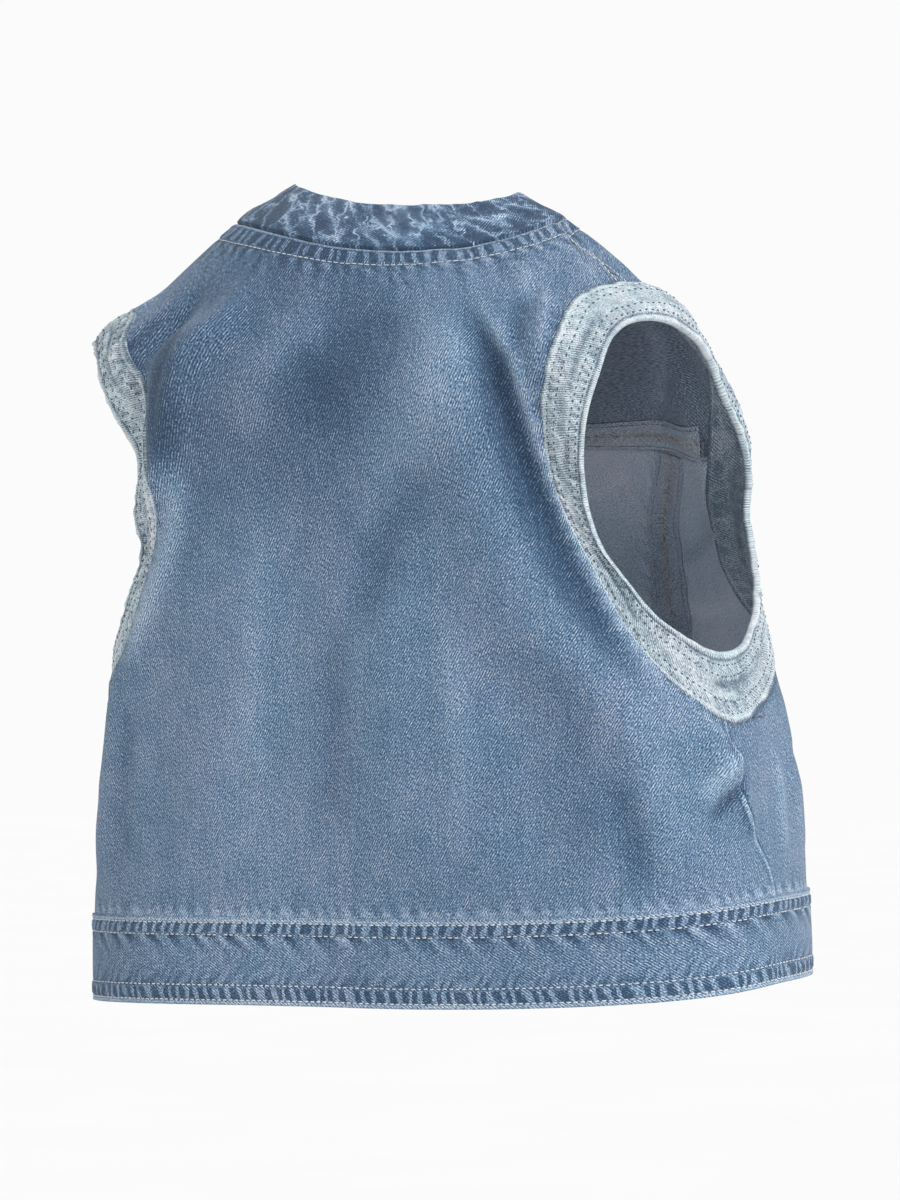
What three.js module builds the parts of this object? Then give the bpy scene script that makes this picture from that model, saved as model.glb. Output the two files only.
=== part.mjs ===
// A child's sleeveless denim vest, buttoned and holding the rounded shape it has when worn.
// Millimetres. +Z is up, the fronts face -Y and the wearer's right is towards -X.
// The origin is midway between the high points of the two shoulders.
// Every piece of cloth is a closed wall on one body surface, which is found from two numbers:
// "around", in degrees from the centre back (90 is the wearer's right side, -90 the left side,
// 180 the centre front), and "up", which is 0 at the hem seam and 1 at the neck seam.

import * as THREE from 'three';

// Cloth and seams
const CLOTH = 1.6;
const DOUBLED_CLOTH = 2.6;
const BAND_PROUD = 0.4;
const ARMHOLE_BAND_WIDTH = 25;
const BAND_GAP = 1;

// Centre front
const PLACKET_WIDTH = 32;
const UNDERLAP_DEPTH = 3.1;
const UNDERLAP_RUN = 26;
const STAND_INNER_EDGE = 12;

// Buttons
const BUTTON_DIAMETER = 15;
const BUTTON_HEIGHT = 3.4;
const BUTTON_CLEARANCE = 0.6;
const BUTTON_SIDES = 16;
const PLACKET_BUTTONS_UP = [0.87, 0.65, 0.43, 0.21];
const NECKBAND_BUTTON_UP = 1.05;
const HEM_BUTTON_UP = -0.066;

// Edges of the bands, as "up"
const HEM_EDGE = -0.13;
const HEM_SEAM = 0;
const NECK_SEAM = 1;
const NECKBAND_EDGE = 1.1;
const UP_GAP = 0.0013;
const NECK_GAP = 0.002;
const DEGREE_GAP = 0.2;

// Rings of the body surface. right, left, back and front are half widths and depths about the
// ring's own centre, which lies forward of the shoulders. The heights are of four points of the
// ring. Its back is raised on the left by half the twist and lowered by as much on the right,
// where it is drawn towards the right shoulder. Square tells how boxy the halves are: 2 is an
// ellipse.
const RINGS = columns(
  ['up', 'right', 'left', 'back', 'front', 'aside', 'forward', 'backZ', 'rightZ', 'leftZ', 'frontZ',
    'twist', 'backSquare', 'frontSquare'],
  [
    [-0.13, 165, 164, 76, 84, 0, 29, -323, -314, -329, -315, 0, 3.0, 2.7],
    [0.00, 164, 163, 76, 84, 0, 29, -286, -278, -290, -279, 0, 3.0, 2.7],
    [0.24, 159, 156, 75, 83, 0, 29, -220, -218, -222, -216, 0, 3.0, 2.7],
    [0.42, 147, 148, 76, 80, 0, 30, -170, -168, -170, -172, 0, 3.0, 2.7],
    [0.62, 138, 139, 76, 78, 0, 29, -113, -108, -110, -120, 0, 2.9, 2.7],
    [0.80, 136, 148, 66, 68, -2, 4, -60, -37, -36, -84, 2, 2.6, 2.4],
    [0.90, 109, 111, 56, 58, -2, -1, -32, -14, -17, -66, 8, 2.4, 2.2],
    [1.00, 80, 72, 47, 50, 0, 0, -4, 5, 8, -50, 14, 2.2, 2.0],
    [1.10, 58, 45, 33, 36, 0, 4, 15, 17, 25, -34, 8, 2.2, 2.0],
  ],
);

// The armhole band between its seam and the open edge, from the shoulder down the back to the
// underarm and up the front.
const ARMHOLE = columns(
  ['openAround', 'openUp', 'seamAround', 'seamUp'],
  [
    [67, 0.803, 69, 0.864],
    [56.5, 0.795, 55, 0.858],
    [50, 0.750, 44.5, 0.808],
    [46, 0.700, 39.5, 0.745],
    [44.5, 0.630, 38, 0.670],
    [45.5, 0.560, 39.5, 0.600],
    [50, 0.500, 43.5, 0.520],
    [57, 0.435, 51, 0.395],
    [70, 0.391, 68, 0.292],
    [88, 0.400, 92, 0.318],
    [103, 0.452, 113, 0.385],
    [112, 0.515, 127, 0.480],
    [115, 0.580, 132, 0.580],
    [114, 0.655, 130, 0.670],
    [108, 0.722, 120, 0.768],
    [88, 0.772, 97, 0.836],
  ],
);
const UNDERARM_TURN = 8;
const SHOULDER_TURN = 16;

// Drape folds. Each runs in a bow from start to end by way of bend, and rises (or sinks, where
// height is negative) over a width to each side. All widths and heights are millimetres.
const FOLDS = columns(
  ['startAround', 'startUp', 'bendAround', 'bendUp', 'endAround', 'endUp', 'width', 'height'],
  [
    [-23, 0.94, -27, 0.76, -52, 0.54, 11, 9],
    [-41, 0.93, -37, 0.80, -45, 0.60, 9, -8],
    [32, 0.93, 32, 0.60, 62, 0.27, 11, -6],
    [20, 0.88, 21, 0.54, 52, 0.22, 16, 4.5],
    [58, 0.27, 68, 0.22, 73, 0.08, 9, 5],
    [-12, 0.66, -10, 0.32, -13, 0.03, 22, -2.6],
    [7, 0.56, 9, 0.28, 6, 0.03, 20, 2.4],
    [28, 0.44, 31, 0.22, 29, 0.02, 14, -3],
    [43, 0.36, 48, 0.19, 50, 0.03, 9, 3],
    [-34, 0.52, -36, 0.26, -36, 0.03, 16, -2.6],
    [-51, 0.44, -54, 0.22, -54, 0.03, 12, 2.8],
    [-74, 0.26, -78, 0.14, -76, 0.03, 12, -3],
    [78, 0.97, 97, 0.86, 124, 0.74, 16, -9],
    [110, 0.84, 119, 0.76, 115, 0.58, 11, 6],
    [132, 0.88, 138, 0.64, 124, 0.40, 14, -6],
    [154, 0.72, 150, 0.44, 132, 0.20, 16, 4],
    [100, 0.27, 108, 0.17, 106, 0.03, 12, 2],
    [163, 0.60, 161, 0.34, 163, 0.05, 13, -2.8],
    [-80, 0.97, -98, 0.87, -122, 0.74, 14, -3.5],
    [-111, 0.83, -118, 0.75, -116, 0.58, 11, 5],
    [-131, 0.89, -139, 0.63, -125, 0.41, 14, -5.5],
    [-156, 0.74, -149, 0.40, -137, 0.16, 15, 3.8],
    [-108, 0.28, -116, 0.15, -112, 0.03, 13, 3.4],
    [-164, 0.55, -160, 0.30, -162, 0.06, 12, -2.5],
  ],
);
const FOLD_STEPS = 10;
const FOLD_FADE = 0.28;
const MM_PER_DEGREE = 2.3;
const MM_PER_UP = 290;

// Half the spans over which a surface's slope is taken
const NORMAL_DEGREES = 0.5;
const NORMAL_UP = 0.004;

// Seams of the panels
const SIDE_SEAM_AT_HEM = 83;
const SIDE_SEAM_AT_UNDERARM = 68;
const SIDE_SEAM_BEND_UP = 0.18;
const SHOULDER_SEAM_AT_NECK = 88;
const FRONT_SEAM_AT_HEM = 151;
const FRONT_SEAM_AT_YOKE = 142;
const FRONT_SEAM_BEND_FROM_UP = 0.58;
const FRONT_SEAM_BEND_SPAN = 0.16;
const YOKE_SEAM_UP = 0.668;
const YOKE_SEAM_RISE = 0.0025;
const YOKE_SEAM_FROM = 124;
const PLACKET_EDGE_AT_YOKE_AROUND = 173;
const YOKE_TURN_RANGE = [11, 14.5];
const YOKE_TURN_HALVINGS = 30;

// Divisions of the walls
const BACK_COLUMNS = 32;
const BACK_ROWS = { side: 8, armhole: 18, shoulder: 5 };
const FRONT_ROWS = { side: 8, armhole: 11 };
const YOKE_ROWS = { armhole: 14, shoulder: 5 };
const FRONT_SIDE_COLUMNS = 10;
const FRONT_CENTRE_COLUMNS = 7;
const YOKE_COLUMNS = 12;
const BAND_ROWS = 3;
const HEM_BAND_COLUMNS = 76;
const NECKBAND_COLUMNS = 72;
const PLACKET_ROWS = 28;
const PLACKET_COLUMNS = 4;

const DENIM = { color: 0x6f8cab, roughness: 0.86, metalness: 0 };
const BLEACHED_DENIM = { color: 0xa9b7c4, roughness: 0.88, metalness: 0 };
const BUTTON_METAL = { color: 0x9a9c9e, roughness: 0.42, metalness: 0.9 };

const vest = new THREE.Group();

// Turn a table into one object for each row.
function columns(names, rows) {
  return rows.map((row) => Object.fromEntries(names.map((name, i) => [name, row[i]])));
}

function mix(a, b, share) {
  return a + (b - a) * share;
}

function smooth(share) {
  const s = Math.min(Math.max(share, 0), 1);
  return s * s * (3 - 2 * s);
}

function slope(rows, i, name) {
  const low = rows[Math.max(i - 1, 0)];
  const high = rows[Math.min(i + 1, rows.length - 1)];
  return (high[name] - low[name]) / (high.up - low.up);
}

// The ring at any height, by a smooth curve through the rows of the table.
function ringAt(up) {
  let i = 0;
  while (i < RINGS.length - 2 && up >= RINGS[i + 1].up) i += 1;
  const low = RINGS[i];
  const high = RINGS[i + 1];
  const span = high.up - low.up;
  const s = (up - low.up) / span;
  const ring = {};
  for (const name of Object.keys(low)) {
    const lowSlope = span * slope(RINGS, i, name);
    const highSlope = span * slope(RINGS, i + 1, name);
    ring[name] = (2 * s ** 3 - 3 * s ** 2 + 1) * low[name] + (s ** 3 - 2 * s ** 2 + s) * lowSlope
      + (3 * s ** 2 - 2 * s ** 3) * high[name] + (s ** 3 - s ** 2) * highSlope;
  }
  return ring;
}

function bodyPoint(around, up) {
  const ring = ringAt(up);
  const angle = THREE.MathUtils.degToRad(around);
  const s = Math.sin(angle);
  const c = Math.cos(angle);
  const square = c > 0 ? ring.backSquare : ring.frontSquare;
  const reach = (Math.abs(s) ** square + Math.abs(c) ** square) ** (-1 / square);
  const width = s > 0 ? ring.right : ring.left;
  const depth = c > 0 ? ring.back : ring.front;
  const sideZ = s > 0 ? ring.rightZ : ring.leftZ;
  const middleZ = c > 0 ? ring.backZ : ring.frontZ;
  return new THREE.Vector3(
    ring.aside - width * s * reach,
    depth * c * reach - ring.forward,
    sideZ * s * s + middleZ * c * c - ring.twist * s * c,
  );
}

function normalOf(surface, around, up) {
  const across = surface(around + NORMAL_DEGREES, up).sub(surface(around - NORMAL_DEGREES, up));
  const along = surface(around, up + NORMAL_UP).sub(surface(around, up - NORMAL_UP));
  return across.cross(along).normalize();
}

// The line of a fold, as points that are spaced in millimetres of cloth.
function foldLine(fold) {
  const line = [];
  for (let i = 0; i <= FOLD_STEPS; i += 1) {
    const s = i / FOLD_STEPS;
    const a = (1 - s) ** 2;
    const b = 2 * s * (1 - s);
    const c = s * s;
    line.push([
      MM_PER_DEGREE * (a * fold.startAround + b * fold.bendAround + c * fold.endAround),
      MM_PER_UP * (a * fold.startUp + b * fold.bendUp + c * fold.endUp),
    ]);
  }
  return line;
}

const FOLD_LINES = FOLDS.map(foldLine);

// How far a point of the cloth is from a fold's line, and how far along the line it lies.
function nearestOnLine(line, x, y) {
  let best = { distance: Infinity, along: 0 };
  for (let i = 0; i < FOLD_STEPS; i += 1) {
    const [x0, y0] = line[i];
    const dx = line[i + 1][0] - x0;
    const dy = line[i + 1][1] - y0;
    const raw = ((x - x0) * dx + (y - y0) * dy) / (dx * dx + dy * dy);
    const s = Math.min(Math.max(raw, 0), 1);
    const distance = Math.hypot(x - x0 - s * dx, y - y0 - s * dy);
    if (distance < best.distance) best = { distance, along: (i + s) / FOLD_STEPS };
  }
  return best;
}

function drape(around, up) {
  let height = 0;
  FOLDS.forEach((fold, k) => {
    const near = nearestOnLine(FOLD_LINES[k], MM_PER_DEGREE * around, MM_PER_UP * up);
    const fade = smooth(near.along / FOLD_FADE) * smooth((1 - near.along) / FOLD_FADE);
    height += fold.height * fade * Math.exp(-((near.distance / fold.width) ** 2));
  });
  return height;
}

function clothPoint(around, up) {
  const normal = normalOf(bodyPoint, around, up);
  return bodyPoint(around, up).addScaledVector(normal, drape(around, up));
}

// A point of a closed curve through the armhole table, by turn.
function armholeAt(turn, kind) {
  const count = ARMHOLE.length;
  const i = Math.floor(turn);
  const s = turn - i;
  const value = (name) => {
    const [a, b, c, d] = [-1, 0, 1, 2].map((k) => ARMHOLE[(i + k + count) % count][name]);
    return 0.5 * (2 * b + (c - a) * s + (2 * a - 5 * b + 4 * c - d) * s * s
      + (3 * b - a - 3 * c + d) * s * s * s);
  };
  return [value(`${kind}Around`), value(`${kind}Up`)];
}

function sideSeam(up) {
  return mix(SIDE_SEAM_AT_HEM, SIDE_SEAM_AT_UNDERARM, smooth(up / SIDE_SEAM_BEND_UP));
}

function frontSeam(up) {
  const share = (up - FRONT_SEAM_BEND_FROM_UP) / FRONT_SEAM_BEND_SPAN;
  return mix(FRONT_SEAM_AT_HEM, FRONT_SEAM_AT_YOKE, smooth(share));
}

function yokeSeamUp(around) {
  return YOKE_SEAM_UP + (around - YOKE_SEAM_FROM) * YOKE_SEAM_RISE;
}

// The turn at which the yoke seam meets the armhole seam.
function yokeTurn() {
  let [low, high] = YOKE_TURN_RANGE;
  for (let i = 0; i < YOKE_TURN_HALVINGS; i += 1) {
    const middle = (low + high) / 2;
    const [around, up] = armholeAt(middle, 'seam');
    if (up < yokeSeamUp(around)) low = middle;
    else high = middle;
  }
  return low;
}

const YOKE_TURN = yokeTurn();

// The angle at which a ring is a given width to the wearer's right of the centre front.
function aroundAtFront(toRight, up) {
  const ring = ringAt(up);
  const width = toRight > 0 ? ring.right : ring.left;
  return 180 - THREE.MathUtils.radToDeg(Math.asin(toRight / width));
}

// Where the placket's edge lies on one side, counted from the centre back towards that side.
function placketEdgeAround(side, up) {
  return 180 - side * (180 - aroundAtFront(side * (PLACKET_WIDTH / 2), up));
}

function toRightOf(around, up) {
  return ringAt(up).aside - bodyPoint(around, up).x;
}

// How far the right front and the under ends of the bands lie behind the placket.
function underlap(around, up) {
  if (around < 90) return 0;
  const clear = around > 180 ? 0 : toRightOf(around, up) - PLACKET_WIDTH / 2;
  return -UNDERLAP_DEPTH * (1 - smooth(clear / UNDERLAP_RUN));
}

function steps(from, to, count) {
  return Array.from({ length: count + 1 }, (_, i) => mix(from, to, i / count));
}

const UNDERARM_UP = armholeAt(UNDERARM_TURN, 'seam')[1];
const SHOULDER_UP = armholeAt(0, 'seam')[1];
const BACK_TURNS = steps(UNDERARM_TURN, 0, BACK_ROWS.armhole);
const FRONT_TURNS = steps(UNDERARM_TURN, YOKE_TURN, FRONT_ROWS.armhole);
const YOKE_TURNS = steps(YOKE_TURN, SHOULDER_TURN, YOKE_ROWS.armhole);

function sideSeamUps(rows) {
  return steps(HEM_SEAM + UP_GAP, UNDERARM_UP, rows);
}

function sideSeamEdge(rows, gap) {
  return sideSeamUps(rows).map((up) => [sideSeam(up) + gap, up]);
}

function armholeEdge(turns) {
  return turns.map((turn) => armholeAt(turn, 'seam'));
}

function shoulderEdge(rows) {
  const [fromAround, fromUp] = armholeAt(0, 'seam');
  return steps(0, 1, rows).map((s) => [
    mix(fromAround, SHOULDER_SEAM_AT_NECK, s),
    mix(fromUp, NECK_SEAM - NECK_GAP, s),
  ]);
}

// Join runs of an edge that share their end points.
function joinRuns(...runs) {
  return runs.flatMap((run, i) => (i === 0 ? run : run.slice(1)));
}

// Rows of places that run from each point of an inner edge to its fellow on an outer edge.
function placesBetween(inner, outer, count) {
  return inner.map(([fromAround, fromUp], k) => steps(0, 1, count).map((s) => [
    mix(fromAround, outer[k][0], s),
    mix(fromUp, outer[k][1], s),
  ]));
}

// A closed wall over a grid of places: an outer face, an inner face and the edges between them.
function wall(rows, thickness, lift, isLoop) {
  const height = rows.length;
  const width = rows[0].length;
  const positions = [];
  for (const face of [0.5, -0.5]) {
    for (const row of rows) {
      for (const [around, up] of row) {
        const normal = normalOf(clothPoint, around, up);
        const proud = lift(around, up) + face * thickness;
        positions.push(...clothPoint(around, up).addScaledVector(normal, proud).toArray());
      }
    }
  }
  const index = [];
  const at = (face, row, column) => (face * height + row) * width + (column % width);
  const quad = (a, b, c, d) => index.push(a, b, c, a, c, d);
  const lastColumn = isLoop ? width : width - 1;
  for (let r = 0; r < height - 1; r += 1) {
    for (let c = 0; c < lastColumn; c += 1) {
      quad(at(0, r, c), at(0, r, c + 1), at(0, r + 1, c + 1), at(0, r + 1, c));
      quad(at(1, r, c), at(1, r + 1, c), at(1, r + 1, c + 1), at(1, r, c + 1));
    }
  }
  for (let c = 0; c < lastColumn; c += 1) {
    quad(at(1, 0, c), at(1, 0, c + 1), at(0, 0, c + 1), at(0, 0, c));
    quad(at(0, height - 1, c), at(0, height - 1, c + 1), at(1, height - 1, c + 1), at(1, height - 1, c));
  }
  if (!isLoop) {
    for (let r = 0; r < height - 1; r += 1) {
      quad(at(0, r, 0), at(0, r + 1, 0), at(1, r + 1, 0), at(1, r, 0));
      quad(at(1, r, width - 1), at(1, r + 1, width - 1), at(0, r + 1, width - 1), at(0, r, width - 1));
    }
  }
  const geometry = new THREE.BufferGeometry();
  geometry.setAttribute('position', new THREE.Float32BufferAttribute(positions, 3));
  geometry.setIndex(index);
  return geometry;
}

// A wall's faces point out only if its rows run the way that "around" grows, or, for a ring of
// cloth, turn anticlockwise. Rows that run the other way are reversed.
function addCloth(name, rows, { thickness = CLOTH, lift = () => 0, isLoop = false, finish = DENIM } = {}) {
  const runsForward = isLoop ? turnsAnticlockwise(rows) : rows[0][1][0] > rows[0][0][0];
  const ordered = runsForward ? rows : rows.map((row) => [...row].reverse());
  const geometry = wall(ordered, thickness, lift, isLoop);
  const mesh = new THREE.Mesh(geometry, new THREE.MeshStandardMaterial(finish));
  mesh.name = name;
  vest.add(mesh);
}

// By the sign of the area that the first row encloses, in degrees around and in "up".
function turnsAnticlockwise(rows) {
  const ring = rows[0];
  let turned = 0;
  ring.forEach(([x, y], i) => {
    const [nextX, nextY] = ring[(i + 1) % ring.length];
    turned += (x * nextY - nextX * y);
  });
  return turned > 0;
}

function mirrored(rows, side) {
  return side > 0 ? rows : rows.map((row) => row.map(([around, up]) => [-around, up]));
}

function addBackPanel() {
  const edge = joinRuns(sideSeamEdge(BACK_ROWS.side, 0), armholeEdge(BACK_TURNS),
    shoulderEdge(BACK_ROWS.shoulder));
  const middle = joinRuns(
    sideSeamUps(BACK_ROWS.side),
    steps(UNDERARM_UP, SHOULDER_UP, BACK_ROWS.armhole),
    steps(SHOULDER_UP, NECK_SEAM - NECK_GAP, BACK_ROWS.shoulder),
  ).map((up) => [0, up]);
  const right = placesBetween(middle, edge, BACK_COLUMNS / 2);
  const rows = right.map((row) => [...row.slice(1).reverse().map(([a, up]) => [-a, up]), ...row]);
  addCloth('back_panel', rows);
}

function frontLift(side) {
  return side > 0 ? underlap : () => 0;
}

// The ends of the rows on the seam between the side and centre fronts, which both pieces share.
function frontSeamUps() {
  return joinRuns(
    sideSeamUps(FRONT_ROWS.side),
    steps(UNDERARM_UP, yokeSeamUp(FRONT_SEAM_AT_YOKE) - UP_GAP, FRONT_ROWS.armhole),
  );
}

function addFrontSide(side, tag) {
  const outer = joinRuns(sideSeamEdge(FRONT_ROWS.side, DEGREE_GAP), armholeEdge(FRONT_TURNS));
  outer.at(-1)[1] -= UP_GAP;
  const inner = frontSeamUps().map((up) => [frontSeam(up), up]);
  addCloth(`front_side_${tag}`, mirrored(placesBetween(inner, outer, FRONT_SIDE_COLUMNS), side));
}

function addFrontCentre(side, tag) {
  const top = yokeSeamUp(PLACKET_EDGE_AT_YOKE_AROUND) - UP_GAP;
  const ups = frontSeamUps();
  const outer = ups.map((up) => [frontSeam(up) + DEGREE_GAP, up]);
  const inner = ups.map((up) => {
    const innerUp = mix(HEM_SEAM + UP_GAP, top, (up - ups[0]) / (ups.at(-1) - ups[0]));
    return [placketEdgeAround(side, innerUp) - DEGREE_GAP * 2, innerUp];
  });
  const rows = placesBetween(outer, inner, FRONT_CENTRE_COLUMNS);
  addCloth(`front_centre_${tag}`, mirrored(rows, side), { lift: frontLift(side) });
}

function addYoke(side, tag) {
  const outer = joinRuns(armholeEdge(YOKE_TURNS), shoulderEdge(YOKE_ROWS.shoulder))
    .map(([around, up]) => [around + DEGREE_GAP * 2, up]);
  const count = outer.length - 1;
  const inner = steps(0, 1, count).map((share) => {
    const up = mix(yokeSeamUp(PLACKET_EDGE_AT_YOKE_AROUND), NECK_SEAM - NECK_GAP, share);
    return [placketEdgeAround(side, up) - DEGREE_GAP * 2, up];
  });
  const rows = placesBetween(inner, outer, YOKE_COLUMNS);
  rows[0] = rows[0].map(([around]) => [around, yokeSeamUp(around)]);
  addCloth(`front_yoke_${tag}`, mirrored(rows, side), { lift: frontLift(side) });
}

function addArmholeBand(side, tag) {
  const back = [...BACK_TURNS].reverse();
  const turns = [...back, ...FRONT_TURNS.slice(1), ...YOKE_TURNS.slice(1, -1)];
  const inset = BAND_GAP / ARMHOLE_BAND_WIDTH;
  const rows = steps(inset, 1, BAND_ROWS).map((share) => turns.map((turn) => {
    const [seamAround, seamUp] = armholeAt(turn, 'seam');
    const [openAround, openUp] = armholeAt(turn, 'open');
    return [mix(seamAround, openAround, share), mix(seamUp, openUp, share)];
  }));
  addCloth(`armhole_band_${tag}`, mirrored(rows, side), {
    thickness: DOUBLED_CLOTH,
    isLoop: true,
    finish: BLEACHED_DENIM,
  });
}

// A band that runs right round the body from the placket's free edge to the under end.
function addRoundBand(name, lowUp, highUp, count) {
  const rows = steps(lowUp, highUp, BAND_ROWS - 1).map((up) => {
    const from = aroundAtFront(PLACKET_WIDTH / 2, up) - 360;
    const to = aroundAtFront(-STAND_INNER_EDGE, up);
    return steps(from, to, count).map((around) => [around, up]);
  });
  const lift = (around, up) => BAND_PROUD + underlap(around, up);
  addCloth(name, rows, { thickness: DOUBLED_CLOTH, lift });
}

function addFrontStrip(name, fromRight, toRight, lift) {
  const rows = steps(HEM_SEAM + UP_GAP, NECK_SEAM - NECK_GAP, PLACKET_ROWS).map((up) => {
    const from = aroundAtFront(fromRight, up);
    const to = aroundAtFront(toRight, up);
    return steps(from, to, PLACKET_COLUMNS).map((around) => [around, up]);
  });
  addCloth(name, rows, { thickness: DOUBLED_CLOTH, lift: () => lift });
}

function buttonGeometry() {
  const radius = BUTTON_DIAMETER / 2;
  const profile = [
    [0, 0],
    [radius * 0.86, 0],
    [radius, BUTTON_HEIGHT * 0.42],
    [radius * 0.93, BUTTON_HEIGHT * 0.86],
    [radius * 0.55, BUTTON_HEIGHT],
    [0, BUTTON_HEIGHT],
  ];
  return new THREE.LatheGeometry(profile.map(([x, y]) => new THREE.Vector2(x, y)), BUTTON_SIDES);
}

function addButton(name, up, proud) {
  const mesh = new THREE.Mesh(buttonGeometry(), new THREE.MeshStandardMaterial(BUTTON_METAL));
  const normal = normalOf(clothPoint, 180, up);
  mesh.name = name;
  mesh.position.copy(clothPoint(180, up)).addScaledVector(normal, proud);
  mesh.quaternion.setFromUnitVectors(new THREE.Vector3(0, 1, 0), normal);
  vest.add(mesh);
}

function addButtons() {
  const onPlacket = DOUBLED_CLOTH / 2 + BUTTON_CLEARANCE;
  addButton('button_neckband', NECKBAND_BUTTON_UP, onPlacket + BAND_PROUD);
  PLACKET_BUTTONS_UP.forEach((up, i) => addButton(`button_placket_${i + 1}`, up, onPlacket));
  addButton('button_hem_band', HEM_BUTTON_UP, onPlacket + BAND_PROUD);
}

addBackPanel();
for (const [side, tag] of [[1, 'R'], [-1, 'L']]) {
  addFrontSide(side, tag);
  addFrontCentre(side, tag);
  addYoke(side, tag);
  addArmholeBand(side, tag);
}
addFrontStrip('placket', PLACKET_WIDTH / 2, -PLACKET_WIDTH / 2, 0);
addFrontStrip('button_stand', PLACKET_WIDTH / 2, -STAND_INNER_EDGE, -UNDERLAP_DEPTH);
addRoundBand('neckband', NECK_SEAM + NECK_GAP, NECKBAND_EDGE, NECKBAND_COLUMNS);
addRoundBand('hem_band', HEM_EDGE, HEM_SEAM - UP_GAP, HEM_BAND_COLUMNS);
addButtons();

export default vest;
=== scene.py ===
import math

import bpy
import numpy as np
from mathutils import Matrix, Vector


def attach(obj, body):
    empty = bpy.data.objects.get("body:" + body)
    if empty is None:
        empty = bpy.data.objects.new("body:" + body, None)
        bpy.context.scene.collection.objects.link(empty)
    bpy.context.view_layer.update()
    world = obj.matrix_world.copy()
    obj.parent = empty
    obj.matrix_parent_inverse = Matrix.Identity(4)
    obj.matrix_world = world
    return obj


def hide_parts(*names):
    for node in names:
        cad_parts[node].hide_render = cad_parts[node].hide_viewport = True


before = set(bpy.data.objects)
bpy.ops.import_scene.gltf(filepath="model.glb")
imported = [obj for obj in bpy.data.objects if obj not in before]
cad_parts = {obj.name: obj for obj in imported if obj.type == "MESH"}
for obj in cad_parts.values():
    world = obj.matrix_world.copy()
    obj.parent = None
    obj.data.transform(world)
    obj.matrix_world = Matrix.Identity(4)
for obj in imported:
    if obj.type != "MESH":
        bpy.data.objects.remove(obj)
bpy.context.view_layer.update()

bl_info = {
    "name": "Denim vest",
    "version": (1, 0, 0),
    "blender": (4, 5, 0),
    "location": "3D View > Sidebar > Vest",
    "description": "Builds a child's sleeveless denim vest around its CAD frame",
    "category": "Object",
}

# The shapes are worked out in millimetres and turned into metres when a mesh is made.
MM = 0.001

# Edges and seams, by "around" in degrees from the centre back (90 is the wearer's right side) and
# "up", which is 0 at the hem seam and 1 at the neck seam.
HEM_EDGE = -0.13
NECKBAND_EDGE = 1.1
UP_GAP = 0.0013
NECK_GAP = 0.002
DEGREE_GAP = 0.2
SIDE_SEAM_AT_HEM = 83.0
SIDE_SEAM_AT_UNDERARM = 68.0
SIDE_SEAM_BEND_UP = 0.18
SHOULDER_SEAM_AT_NECK = 88.0
FRONT_SEAM_AT_HEM = 151.0
FRONT_SEAM_AT_YOKE = 142.0
FRONT_SEAM_BEND_FROM_UP = 0.58
FRONT_SEAM_BEND_SPAN = 0.16
YOKE_SEAM_UP = 0.668
YOKE_SEAM_RISE = 0.0025
YOKE_SEAM_FROM = 124.0
YOKE_ROW_FROM = 131.0
YOKE_ROW_TO = 170.0
PLACKET_EDGE_AT_YOKE = 173.0
UNDERARM_TURN = 8.0
SHOULDER_TURN = 16.0

# Millimetres. The armhole bands reach a little way under the panels, and the panels a little way
# behind the hem band, so that no seam lets light through.
BAND_OVERLAP = 1.2
HEM_OVERLAP = 1.1
BAND_PROUD = 0.4
ARMHOLE_BAND_WIDTH = 25.0
PLACKET_WIDTH = 32.0
UNDERLAP_DEPTH = 3.1
UNDERLAP_RUN = 26.0
STAND_INNER_EDGE = 12.0
HEM_BAND_DEPTH = 37.7
BUTTON_STANDOFF = 0.6

# Millimetres of cloth to a degree of around, to a unit of up and to a turn of the armhole
MM_PER_DEGREE = 2.3
MM_PER_UP = 290.0
NECK_MM_PER_UP = 255.0
NECKBAND_MM_PER_UP = 300.0
ARMHOLE_MM_PER_TURN = 32.0
PANEL_EDGE_UP = -HEM_OVERLAP / MM_PER_UP

# Rows of topstitching and sewn strips, in millimetres from the edge that each follows
HEM_ROWS = (2.4, 7.7, 29.4, 35.8)
HEM_STRIPS = ((3.0, 7.2), (29.8, 35.2))
PLACKET_ROWS = (2.0, 6.7)
PLACKET_STRIP = (2.6, 6.2)
ARMHOLE_ROWS = (2.4, 6.9, 16.0, 20.2)
ARMHOLE_STRIPS = ((2.4, 7.4), (16.4, 20.6))
SEAM_ROWS = (1.6, 7.0)
NECK_ROW = 6.7
NECK_STRIP = (1.2, 6.2)
STRIP_EDGE = 0.9
STRIP_PERIOD = 5.6
SEAM_WASH_REACH = 16.0
SEAM_WASH_FADE = 3.0
FAR_FROM_SEAMS = 99.0
LOW_STRIP_SHIFT = 300.0

PLACKET_BUTTONS_UP = (0.87, 0.65, 0.43, 0.21)
NECKBAND_BUTTON_UP = 1.05
HEM_BUTTON_UP = -0.066

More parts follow.
